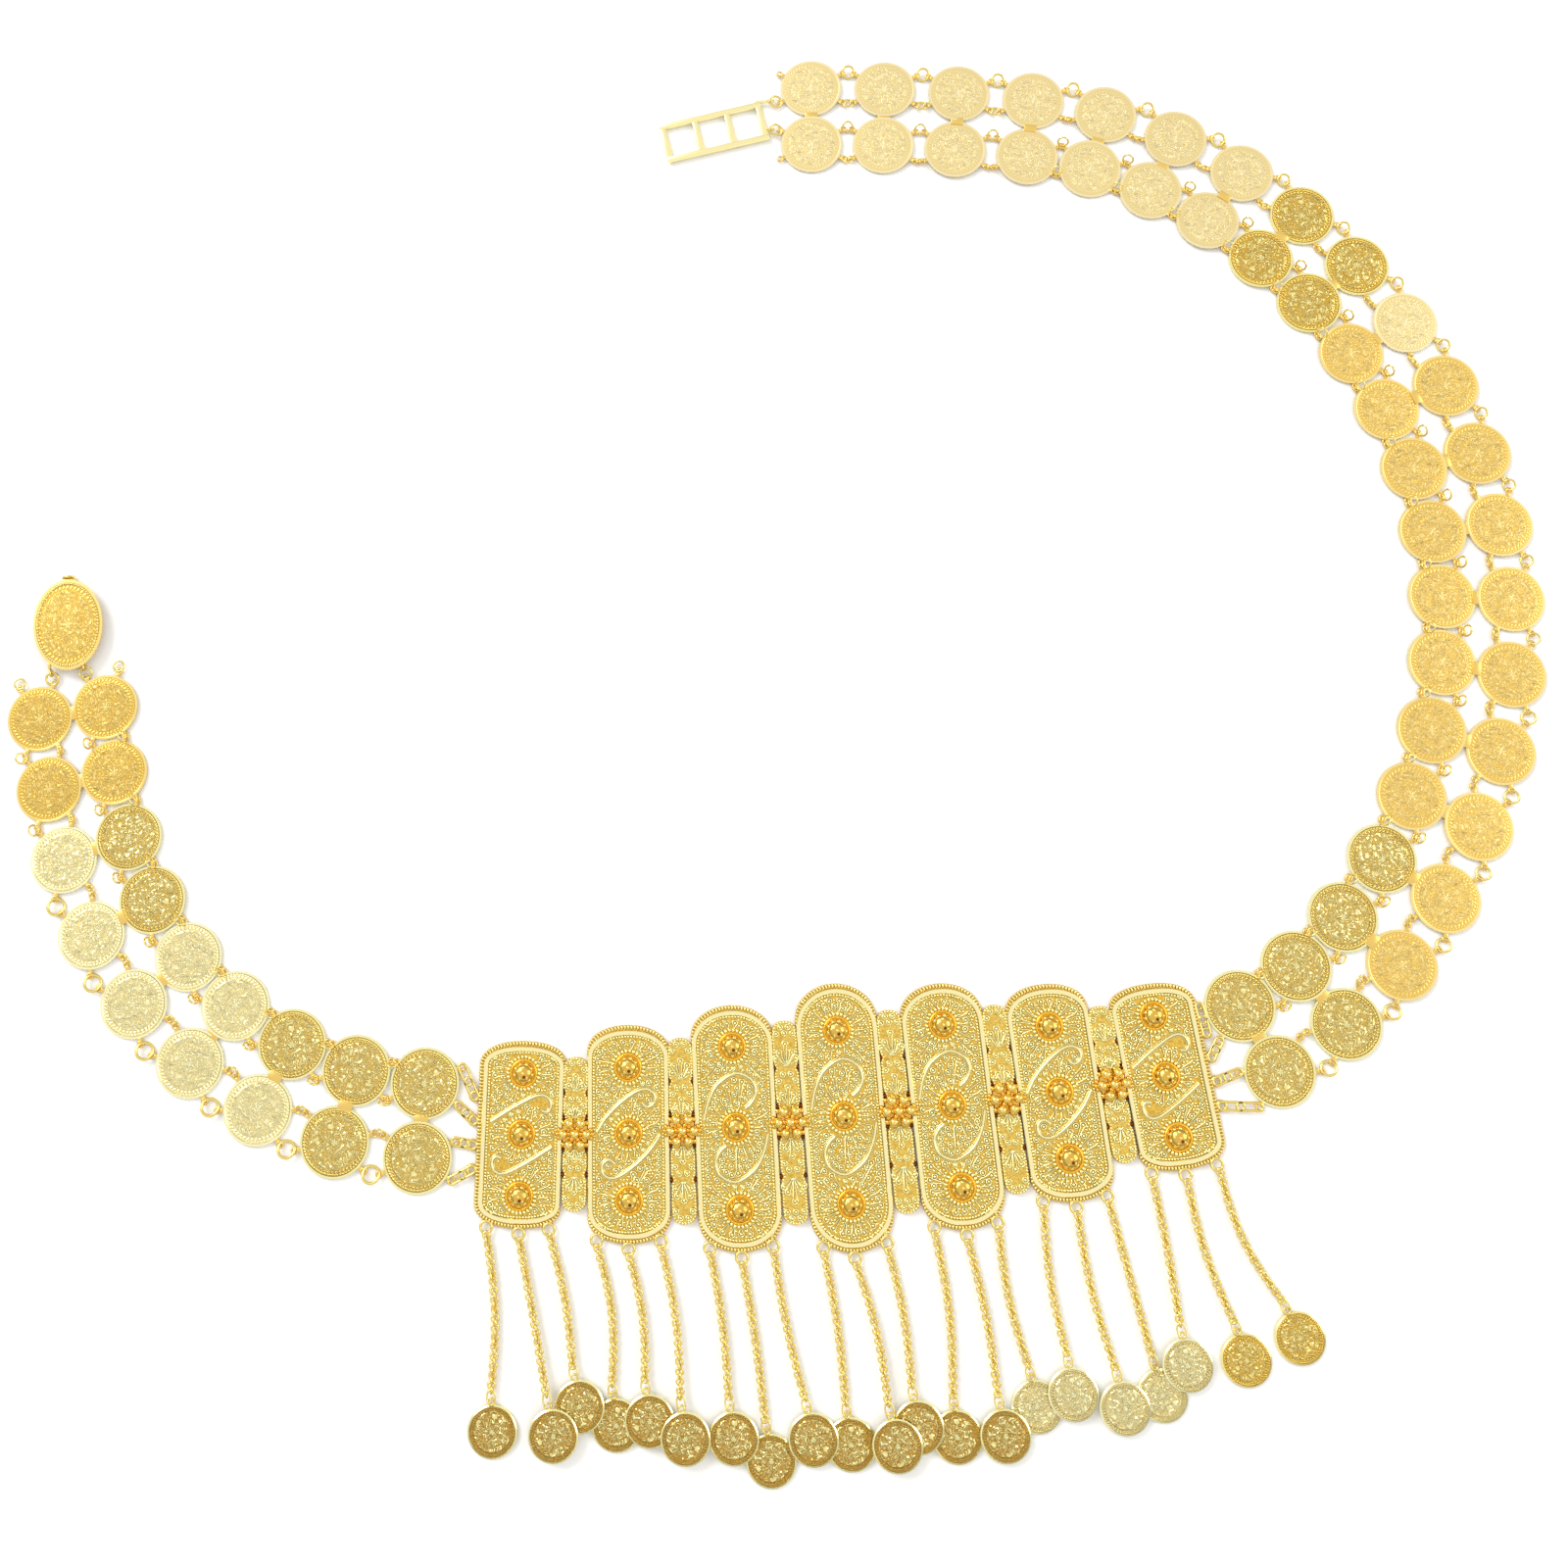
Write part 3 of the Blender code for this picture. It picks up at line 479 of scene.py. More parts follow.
def struck_height(graph: Graph, fineness: float) -> bpy.types.NodeSocket:
    """Height of a coin's relief: dots, a wreath of small leaves and curling strokes round a rosette.

    Args:
        graph: The material's graph. The coin's own UV is its position over its radius.
        fineness: How fine the strokes are for the coin's size.

    Returns:
        Height from 0 to 1.
    """
    uv = graph.add("UVMap", uv_map="coin")
    axes = graph.add("SeparateXYZ")
    graph.put(axes.inputs[0], uv.outputs[0])
    x, y = axes.outputs[0], axes.outputs[1]
    length = graph.add("VectorMath", operation="LENGTH")
    graph.put(length.inputs[0], uv.outputs[0])
    radius = length.outputs["Value"]
    angle = graph.calc("ARCTAN2", y, x)

    dot = graph.calc("COSINE", graph.calc("MULTIPLY", angle, float(DOT_COUNT)))
    dots = graph.calc("MULTIPLY", graph.hump(radius, DOT_RING, DOT_RING_HALF),
                      graph.calc("MULTIPLY_ADD", dot, 0.25, 0.25))
    from_spine = graph.calc("ABSOLUTE", graph.calc("SUBTRACT", radius, WREATH_SPINE))
    lean = graph.calc("MULTIPLY", from_spine, LEAF_LEAN)
    leaf = graph.calc("SINE", graph.calc("ADD", graph.calc("MULTIPLY", angle, float(WREATH_LEAVES)), lean))
    leaves = graph.calc("MULTIPLY", graph.hump(radius, WREATH_RING, WREATH_HALF),
                        graph.calc("MULTIPLY_ADD", leaf, 0.6, 0.2, clamp=True))

    bend = graph.add("TexNoise")
    graph.put(bend.inputs["Vector"], uv.outputs[0])
    graph.put(bend.inputs["Scale"], COIN_RADIUS / STROKE_BEND * fineness)
    graph.put(bend.inputs["Detail"], 1.0)
    graph.put(bend.inputs["Distortion"], 1.1)
    lines = graph.calc("SINE", graph.calc("MULTIPLY", bend.outputs[0], STROKES_PER_BEND))
    cells = graph.add("TexVoronoi", feature="SMOOTH_F1")
    graph.put(cells.inputs["Vector"], uv.outputs[0])
    graph.put(cells.inputs["Scale"], COIN_RADIUS / LUMP_SIZE * fineness)
    lumps = graph.calc("SUBTRACT", 1.35, graph.calc("MULTIPLY", cells.outputs["Distance"], 1.5), clamp=True)
    strokes = graph.calc("MULTIPLY", graph.calc("MULTIPLY_ADD", lines, 1.5, 0.7, clamp=True), lumps)
    within = graph.calc("MULTIPLY", graph.calc("SUBTRACT", STROKE_EDGE, radius), 18.0, clamp=True)
    strokes = graph.calc("MULTIPLY", strokes, within)
    petal = graph.calc("COSINE", graph.calc("MULTIPLY", angle, float(ROSETTE_PETALS)))
    petals = graph.calc("MULTIPLY_ADD", petal, ROSETTE_SWING, ROSETTE_REACH)
    rosette = graph.calc("MULTIPLY", graph.calc("SUBTRACT", petals, radius), 20.0, clamp=True)
    rim = graph.calc("MULTIPLY", graph.calc("SUBTRACT", radius, RIM_START), 50.0, clamp=True)
    total = graph.calc("MAXIMUM", graph.calc("MAXIMUM", dots, leaves),
                       graph.calc("MAXIMUM", strokes, rosette))
    return graph.calc("MAXIMUM", total, graph.calc("MULTIPLY", rim, 0.9))


def grain_height(graph: Graph) -> bpy.types.NodeSocket:
    """Height of a matt ground's grain.

    Args:
        graph: The material's graph.

    Returns:
        Height from 0 to 1.
    """
    place = graph.add("TexCoord")
    cells = graph.add("TexVoronoi", feature="SMOOTH_F1")
    graph.put(cells.inputs["Vector"], place.outputs["Object"])
    graph.put(cells.inputs["Scale"], 1.0 / (GRAIN_SIZE * MM))
    return graph.calc("SUBTRACT", 1.0, cells.outputs["Distance"], clamp=True)


def material(gold: Gold) -> bpy.types.Material:
    """The material of a finish, made once.

    Args:
        gold: The finish.

    Returns:
        The material.
    """
    finish = gold.value
    found = bpy.data.materials.get(finish.name)
    if found:
        return found
    made = bpy.data.materials.new(finish.name)
    made.use_nodes = True
    graph = Graph(made.node_tree)
    shader = made.node_tree.nodes["Principled BSDF"]
    shader.inputs["Metallic"].default_value = 1.0
    shader.inputs["Roughness"].default_value = finish.roughness
    if finish.pattern is Pattern.SMOOTH:
        shader.inputs["Base Color"].default_value = to_linear(finish.high)
        return made
    if finish.pattern is Pattern.FOOT_SHADE:
        height = foot_shade_mask(graph)
    elif finish.pattern is Pattern.STRUCK:
        height = struck_height(graph, finish.fineness)
    else:
        height = grain_height(graph)
    # the low colour paints shade into a coin's sunk relief and a wire's foot; on a matt ground it is the
    # grain's own colour
    graph.put(shader.inputs["Base Color"], graph.blend(height, finish))
    if finish.pattern is Pattern.FOOT_SHADE:
        return made
    bump = graph.add("Bump")
    graph.put(bump.inputs["Strength"], 1.0)
    graph.put(bump.inputs["Distance"], finish.depth * MM)
    graph.put(bump.inputs["Height"], height)
    graph.put(shader.inputs["Normal"], bump.outputs["Normal"])
    return made


def turned(x: float, y: float, degrees: float) -> tuple[float, float]:
    """(x, y) turned anticlockwise about the origin."""
    a = math.radians(degrees)
    return (x * math.cos(a) - y * math.sin(a), x * math.sin(a) + y * math.cos(a))


def placed(local: tuple[float, float], origin: tuple[float, float], degrees: float) -> tuple[float, float]:
    """A point of a piece's own frame, on the page."""
    x, y = turned(local[0], local[1], degrees)
    return (origin[0] + x, origin[1] + y)


def frame_at(x: float, y: float, degrees: float) -> Matrix:
    """The matrix that takes a piece's own frame to the page."""
    return Matrix.Translation((x, y, 0.0)) @ Matrix.Rotation(math.radians(degrees), 4, "Z")


def spot(x: float, y: float, z: float, turn: float = 0.0, size: float = 1.0) -> Matrix:
    """A matrix that moves a template to a point, turned about Z and scaled."""
    turning = Matrix.Rotation(math.radians(turn), 4, "Z")
    return Matrix.Translation((x, y, z)) @ turning @ Matrix.Scale(size, 4)


def basis(x_axis: Vector, y_axis: Vector, origin: Vector) -> Matrix:
    """A matrix from two axes and an origin.

    Args:
        x_axis: Direction of X.
        y_axis: A direction near that of Y. It is made square to X.
        origin: Where the origin goes.

    Returns:
        The matrix.
    """
    x = x_axis.normalized()
    z = x.cross(y_axis).normalized()
    y = z.cross(x)
    rows = [(x[k], y[k], z[k], origin[k]) for k in range(3)]
    return Matrix((*rows, (0, 0, 0, 1)))


@dataclass
class Template:
    """A small part's mesh as arrays, in millimetres.

    Attributes:
        points: Vertex positions.
        corners: Vertex index of each face corner.
        starts: First corner of each face.
        unit: Length by which X and Y are divided to give its UV.
        rounded: Whether it has no hard edges.
    """

    points: np.ndarray
    corners: np.ndarray
    starts: np.ndarray
    unit: float = 1.0
    rounded: bool = False

    @classmethod
    def take(cls, piece: bpy.types.Object, unit: float = 1.0, rounded: bool = False) -> "Template":
        """Reads a modelled object and removes it.

        Args:
            piece: The object, its sizes in millimetres.
            unit: See the class.
            rounded: See the class.

        Returns:
            The template.
        """
        mesh = piece.data
        points = np.zeros(len(mesh.vertices) * 3)
        mesh.vertices.foreach_get("co", points)
        corners = np.zeros(len(mesh.loops), np.int64)
        mesh.loops.foreach_get("vertex_index", corners)
        starts = np.zeros(len(mesh.polygons), np.int64)
        mesh.polygons.foreach_get("loop_start", starts)
        matrix = np.array(piece.matrix_world)
        points = points.reshape(-1, 3) @ matrix[:3, :3].T + matrix[:3, 3]
        bpy.data.objects.remove(piece)
        return cls(points, corners, starts, unit, rounded)


@dataclass
class Piece:
    """One visible piece: copies of templates, gathered into one mesh.

    Attributes:
        name: The piece's name.
        node: The CAD node that it replaces.
        body: The body that it rides on.
        slot: The record's material slot; not used.
        place: Matrix from its own frame to the page.
        points: Vertex positions of each copy.
        corners: Vertex index of each copy's face corners.
        starts: First corner of each copy's faces.
        finishes: Number of each copy's finish, face by face.
        uvs: Place in the UV map of each copy's corners.
        golds: The finishes used.
        rounded: Whether each copy's vertices have no hard edge.
        point_count: Vertices so far.
        corner_count: Corners so far.
    """

    name: str
    node: str
    body: str
    slot: str
    place: Matrix = field(default_factory=Matrix)
    points: list[np.ndarray] = field(default_factory=list)
    corners: list[np.ndarray] = field(default_factory=list)
    starts: list[np.ndarray] = field(default_factory=list)
    finishes: list[np.ndarray] = field(default_factory=list)
    uvs: list[np.ndarray] = field(default_factory=list)
    golds: list[Gold] = field(default_factory=list)
    rounded: list[np.ndarray] = field(default_factory=list)
    point_count: int = 0
    corner_count: int = 0

    def add(self, template: Template, where: Matrix, gold: Gold) -> None:
        """Adds a copy of a template.

        Args:
            template: What is copied.
            where: Its place in the piece's own frame.
            gold: Its finish.
        """
        matrix = np.array(self.place @ where)
        self.points.append(template.points @ matrix[:3, :3].T + matrix[:3, 3])
        self.corners.append(template.corners + self.point_count)
        self.starts.append(template.starts + self.corner_count)
        if gold not in self.golds:
            self.golds.append(gold)
        self.finishes.append(np.full(len(template.starts), self.golds.index(gold)))
        self.uvs.append(template.points[template.corners][:, :2] / template.unit)
        self.rounded.append(np.full(len(template.points), template.rounded))
        self.point_count += len(template.points)
        self.corner_count += len(template.corners)

    def soften(self, mesh: bpy.types.Mesh) -> None:
        """Takes the hard edges off the copies of rounded templates.

        Args:
            mesh: The piece's mesh.
        """
        ends = np.zeros(len(mesh.edges) * 2, np.int64)
        mesh.edges.foreach_get("vertices", ends)
        sharp = np.zeros(len(mesh.edges), bool)
        mesh.edges.foreach_get("use_edge_sharp", sharp)
        sharp &= ~np.concatenate(self.rounded)[ends[::2]]
        mesh.edges.foreach_set("use_edge_sharp", sharp)

    def build(self) -> bpy.types.Object:
        """Makes the object and ties it to the frame.

        Returns:
            The object.
        """
        points = np.concatenate(self.points)
        points[:, 0] -= PAGE_ORIGIN[0]
        points[:, 1] -= PAGE_ORIGIN[1]
        corners = np.concatenate(self.corners)
        starts = np.concatenate(self.starts)
        mesh = bpy.data.meshes.new(self.name)
        mesh.vertices.add(len(points))
        mesh.vertices.foreach_set("co", (points * MM).ravel())
        mesh.loops.add(len(corners))
        mesh.loops.foreach_set("vertex_index", corners)
        mesh.polygons.add(len(starts))
        mesh.polygons.foreach_set("loop_start", starts)
        mesh.polygons.foreach_set("material_index", np.concatenate(self.finishes))
        mesh.update(calc_edges=True)
        mesh.uv_layers.new(name="coin").data.foreach_set("uv", np.concatenate(self.uvs).ravel())
        for gold in self.golds:
            mesh.materials.append(material(gold))
        mesh.polygons.foreach_set("use_smooth", np.ones(len(starts), bool))
        mesh.set_sharp_from_angle(angle=math.radians(38))
        self.soften(mesh)
        made = bpy.data.objects.new(self.name, mesh)
        bpy.context.scene.collection.objects.link(made)
        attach(made, self.body)
        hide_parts(self.node)
        triangles = sum(len(c) for c in self.corners) - 2 * len(starts)
        LOG.info("%s: %d triangles", self.name, triangles)
        return made


def active_after(operator: Callable[..., set[str]], **settings: object) -> bpy.types.Object:
    """Runs an operator that adds an object, with nothing else selected.

    Args:
        operator: The operator.
        **settings: Its settings.

    Returns:
        The new object.
    """
    bpy.ops.object.select_all(action="DESELECT")
    operator(**settings)
    return bpy.context.object


def edit(piece: bpy.types.Object, top_only: bool = False) -> None:
    """Opens a mesh for editing with its faces picked.

    Args:
        piece: The object.
        top_only: Picks only the faces that look up.
    """
    bpy.ops.object.select_all(action="DESELECT")
    piece.select_set(True)
    bpy.context.view_layer.objects.active = piece
    for polygon in piece.data.polygons:
        polygon.select = not top_only or polygon.normal.z > 0.9
    bpy.ops.object.mode_set(mode="EDIT")
    bpy.ops.mesh.select_mode(type="FACE")


def close_edit() -> None:
    """Goes back to object mode."""
    bpy.ops.object.mode_set(mode="OBJECT")


def torus(mean: float, wire: float, sides: int = 16, section: int = 6) -> Template:
    """A ring that lies flat round the origin."""
    ring = active_after(bpy.ops.mesh.primitive_torus_add, major_segments=sides, minor_segments=section,
                        major_radius=mean, minor_radius=wire)
    return Template.take(ring, rounded=True)


def ball(radius: float, segments: int = 8, rings: int = 5) -> Template:
    """A ball round the origin."""
    made = active_after(bpy.ops.mesh.primitive_uv_sphere_add, segments=segments, ring_count=rings,
                        radius=radius)
    return Template.take(made, rounded=True)


def dome(radius: float, height: float) -> Template:
    """A dome on the origin's level, cut from a ball and pressed flatter.

    Args:
        radius: Its radius.
        height: Its height.

    Returns:
        The dome.
    """
    piece = active_after(bpy.ops.mesh.primitive_uv_sphere_add, segments=24, ring_count=16, radius=radius)
    edit(piece)
    bpy.ops.mesh.bisect(plane_co=(0, 0, 0), plane_no=(0, 0, 1), clear_inner=True)
    bpy.ops.mesh.select_all(action="SELECT")
    bpy.ops.transform.resize(value=(1.0, 1.0, height / radius))
    close_edit()
    return Template.take(piece, rounded=True)


def bar(length: float, width: float, height: float, bevel: float) -> Template:
    """A bevelled bar along X, its underside on the origin's level.

    Args:
        length: Size along X.
        width: Size along Y.
        height: Size along Z.
        bevel: Width of its bevels.

    Returns:
        The bar.
    """
    piece = active_after(bpy.ops.mesh.primitive_cube_add, size=1.0)
    edit(piece)
    bpy.ops.transform.resize(value=(length, width, height))
    bpy.ops.transform.translate(value=(0.0, 0.0, height / 2))
    bpy.ops.mesh.bevel(offset=bevel, segments=2)
    close_edit()
    return Template.take(piece)


def wire(points: list, radius: float, closed: bool = False, resolution: int = 1) -> Template:
    """A round wire along a line.

    Args:
        points: Points of its middle line (x, y, z).
        radius: Radius of the wire.
        closed: Joins its ends.
        resolution: How round its section is.

    Returns:
        The wire.
    """
    curve = bpy.data.curves.new("wire", "CURVE")
    curve.dimensions = "3D"
    curve.bevel_depth = radius
    curve.bevel_resolution = resolution
    curve.use_fill_caps = True
    spline = curve.splines.new("POLY")
    spline.points.add(len(points) - 1)
    for knot, (x, y, z) in zip(spline.points, points):
        knot.co = (x, y, z, 1.0)
    spline.use_cyclic_u = closed
    piece = bpy.data.objects.new("wire", curve)
    bpy.context.scene.collection.objects.link(piece)
    bpy.ops.object.select_all(action="DESELECT")
    piece.select_set(True)
    bpy.context.view_layer.objects.active = piece
    bpy.ops.object.convert(target="MESH")
    return Template.take(bpy.context.object, rounded=True)


def sheet(loop: np.ndarray, level: float) -> bpy.types.Object:
    """A flat face.

    Args:
        loop: Its outline, anticlockwise.
        level: Its height.

    Returns:
        The object.
    """
    mesh = bpy.data.meshes.new("sheet")
    mesh.from_pydata([(float(x), float(y), level) for x, y in loop], [], [list(range(len(loop)))])
    piece = bpy.data.objects.new("sheet", mesh)
    bpy.context.scene.collection.objects.link(piece)
    return piece


def plate(loop: np.ndarray, low: float, high: float, chamfer: float = 0.15) -> Template:
    """An outline extruded between two levels, with a chamfer round its top.

    Args:
        loop: The outline, anticlockwise.
        low: The lower level.
        high: The upper level.
        chamfer: Width of the chamfer.

    Returns:
        The plate.
    """
    piece = sheet(loop, low)
    edit(piece)
    bpy.ops.mesh.extrude_region_move(TRANSFORM_OT_translate={"value": (0.0, 0.0, high - low - chamfer)})
    bpy.ops.mesh.inset(thickness=chamfer, depth=chamfer)
    close_edit()
    return Template.take(piece)


def smooth_line(points: tuple, step: float = 0.7, closed: bool = False) -> np.ndarray:
    """A smooth line through points.

    Args:
        points: The points.
        step: Distance of the line's own points, about.
        closed: Leads back to the first point.

    Returns:
        The line's points.
    """
    knots = np.array(points, float)
    if closed:
        knots = np.vstack([knots[-1:], knots, knots[:2]])
    else:
        knots = np.vstack([2 * knots[0] - knots[1], knots, 2 * knots[-1] - knots[-2]])
    line = []
    for a, b, c, d in zip(knots, knots[1:], knots[2:], knots[3:]):
        count = max(2, int(np.linalg.norm(c - b) / step))
        for t in np.arange(count) / count:
            bend = (2 * a - 5 * b + 4 * c - d) * t ** 2
            line.append(0.5 * (2 * b + (c - a) * t + bend + (3 * b - a - 3 * c + d) * t ** 3))
    if not closed:
        line.append(knots[-2])
    return np.array(line)


def spaced(line: np.ndarray, pitch: float, closed: bool) -> np.ndarray:
    """Points along a line at an even pitch.

    Args:
        line: The line.
        pitch: The pitch, which is fitted to the line's length.
        closed: Whether the line is a loop.

    Returns:
        The points.
    """
    if closed:
        line = np.vstack([line, line[:1]])
    lengths = np.concatenate([[0.0], np.cumsum(np.linalg.norm(np.diff(line, axis=0), axis=1))])
    count = max(2, round(lengths[-1] / pitch))
    marks = np.linspace(0.0, lengths[-1], count + 1)
    if closed:
        marks = marks[:-1]
    return np.stack([np.interp(marks, lengths, line[:, k]) for k in range(line.shape[1])], axis=1)


def inset_loop(loop: np.ndarray, inset: float) -> np.ndarray:
    """A closed outline moved in by a distance.

    Args:
        loop: The outline, anticlockwise.
        inset: The distance.

    Returns:
        The new outline.
    """
    along = np.roll(loop, -1, axis=0) - np.roll(loop, 1, axis=0)
    along /= np.linalg.norm(along, axis=1)[:, None]
    return loop + inset * np.stack([-along[:, 1], along[:, 0]], axis=1)


def moved_aside(line: np.ndarray, distance: float) -> np.ndarray:
    """An open line moved sideways.

    Args:
        line: The line.
        distance: How far it is moved to its left.

    Returns:
        The new line.
    """
    along = np.gradient(line, axis=0)
    along /= np.linalg.norm(along, axis=1)[:, None]
    return line + distance * np.stack([-along[:, 1], along[:, 0]], axis=1)


def away_from(points: np.ndarray, x: float, y: float) -> float:
    """Least distance from a point to any of these points."""
    return float(np.min(np.hypot(points[:, 0] - x, points[:, 1] - y)))


def room_at(x: float, y: float, taken: list[tuple[float, float, float]]) -> float:
    """Distance from a point to the nearest of these discs (x, y, radius)."""
    return min((math.hypot(x - tx, y - ty) - tr for tx, ty, tr in taken), default=math.inf)


class Library:
    """Templates that several pieces share."""

    def __init__(self) -> None:
        """Models them all."""
        self.coin = self.struck_coin(COIN_RADIUS, COIN_THICK, 96, 17)
        self.small_coin = self.struck_coin(PENDANT_RADIUS, 0.8, 72, 14)
        self.eyelet = torus(0.9, 0.32, 12, 5)
        self.jump_ring = torus(RING_MEAN, RING_WIRE, 20, 6)
        self.link = torus(1.0, 0.36, 12, 5)
        self.dome = dome(DOME_RADIUS, DOME_HEIGHT)
        self.recess_ring = torus(COLLAR_RADIUS - 0.95, 0.36, 32, 8)
        self.top_ring = torus(1.7, 0.42, 18, 6)
        self.bead = ball(1.0, 8, 5)
        self.round_bead = ball(1.0, 14, 9)
        self.curl = torus(0.78, 0.23, 10, 4)
        self.petals = {size: self.petal(size) for size in (1.7, 2.3, 2.9, 3.5, 4.2, 5.0, 6.0, 7.2, 8.6)}
        self.tab = bar(1.5, 1.3, 0.5, 0.1)
        self.neck = bar(NECK_WIDTH, 2.6, COIN_THICK - 0.05, 0.12)
        self.lug_ring = torus(LUG_MEAN, LUG_WIRE, 14, 6)

    @staticmethod
    def struck_coin(radius: float, thick: float, sides: int, rings: int) -> Template:
        """A coin with a reeded edge and a raised rim, its face a fan of narrow rings.

        Args:
            radius: Its radius.
            thick: Its thickness.
            sides: Faces round its edge.
            rings: Rings of faces on its front.

        Returns:
            The coin, lying on the origin's level.
        """
        piece = active_after(bpy.ops.mesh.primitive_cylinder_add, vertices=sides, radius=radius,
                             depth=thick, location=(0.0, 0.0, thick / 2))
        edit(piece, top_only=True)
        for _ in range(rings):
            bpy.ops.mesh.inset(thickness=radius / (rings + 1))
        bpy.ops.mesh.poke()
        close_edit()
        points = piece.data.vertices
        top = max(p.co.z for p in points) - 1e-4
        unit = radius / COIN_RADIUS
        for point in points:
            r = math.hypot(point.co.x, point.co.y) / unit
            a = math.atan2(point.co.y, point.co.x)
            if r > EDGE_START:
                notch = 1 - REED_DEPTH * (round(a / (2 * math.pi) * sides) % 2)
                point.co.x *= notch
                point.co.y *= notch
            if point.co.z >= top:
                rim = RIM_HEIGHT * math.exp(-((r - RIM_MIDDLE) / RIM_SPREAD) ** 4)
                swell = SWELL_HEIGHT * math.exp(-(r / SWELL_SPREAD) ** 4)
                point.co.z += unit * (rim + swell - (EDGE_DROP if r > EDGE_START else 0.0))
        return Template.take(piece, radius)

    @staticmethod
    def petal(length: float) -> Template:
        """A loop of wire from its tip at the origin to its round head along X.

        Args:
            length: Its length.

        Returns:
            The petal.
        """
        head = min(PETAL_HEAD, 0.36 * length)
        loop = [(0.0, -0.16, 0.0), (length - 1.5 * head, -0.62 * head, 0.0)]
        for k in range(9):
            a = math.radians(-100 + 25 * k)
            loop.append((length - head + head * math.cos(a), head * math.sin(a), 0.0))
        loop += [(length - 1.5 * head, 0.62 * head, 0.0), (0.0, 0.16, 0.0)]
        return wire(loop, 0.23, closed=True, resolution=0)

    def put_petal(self, piece: Piece, x: float, y: float, turn: float, length: float,
                  level: float) -> None:
        """A petal with a granule in its head.

        Args:
            piece: What it is added to.
            x: Where its tip is.
            y: The same.
            turn: Where it points, in degrees.
            length: Its length at most.
            level: Height of the ground under it.
        """
        size = max([known for known in self.petals if known <= length] or [min(self.petals)])
        piece.add(self.petals[size], spot(x, y, level + 0.16, turn), Gold.WIRE)
        head = turned(size - min(PETAL_HEAD, 0.36 * size), 0.0, turn)
        piece.add(self.bead, spot(x + head[0], y + head[1], level + 0.14, turn, 0.46), Gold.WIRE)


def band_places(start: tuple, steps: tuple) -> list[tuple[float, float, float]]:
    """Places of a band's coin pairs.

    Args:
        start: Place of the first pair.
        steps: Number of gaps, pitch and turn, for each stretch of the band.

    Returns:
        Page x, page y and heading of each pair.
    """
    x, y, heading = start
    places = [(x, y, heading)]
    for count, pitch, turn in steps:
        for _ in range(count):
            way = math.radians(heading - turn / 2)
            x += pitch * math.cos(way)
            y += pitch * math.sin(way)
            heading -= turn
            places.append((x, y, heading))
    return places


def eye_hole(coin: int, side: int, forward: int = 1, reach: float = EYE_HOLE) -> tuple[float, float]:
    """Hole of an eyelet in its pair's frame."""
    a = math.radians(EYE_ANGLE)
    return (forward * reach * math.cos(a), coin * PAIR_SPAN / 2 + side * reach * math.sin(a))


def side_ring(size: PlaqueSize, side: int, number: int) -> tuple[float, float]:
    """Middle of a ring soldered to a plaque's outer side, on the page, number 0 the top one."""
    local = (side * SIDE_RING_OUT, SIDE_RING_PITCH * (1.5 - number))
    return placed(local, (size.x, size.y), size.tilt)


def free_side(number: int) -> int:
    """The side of a plaque that has no spacer: -1, 1 or, where it has two spacers, 0."""
    return {1: -1, len(PLAQUE_SIZES): 1}.get(number, 0)


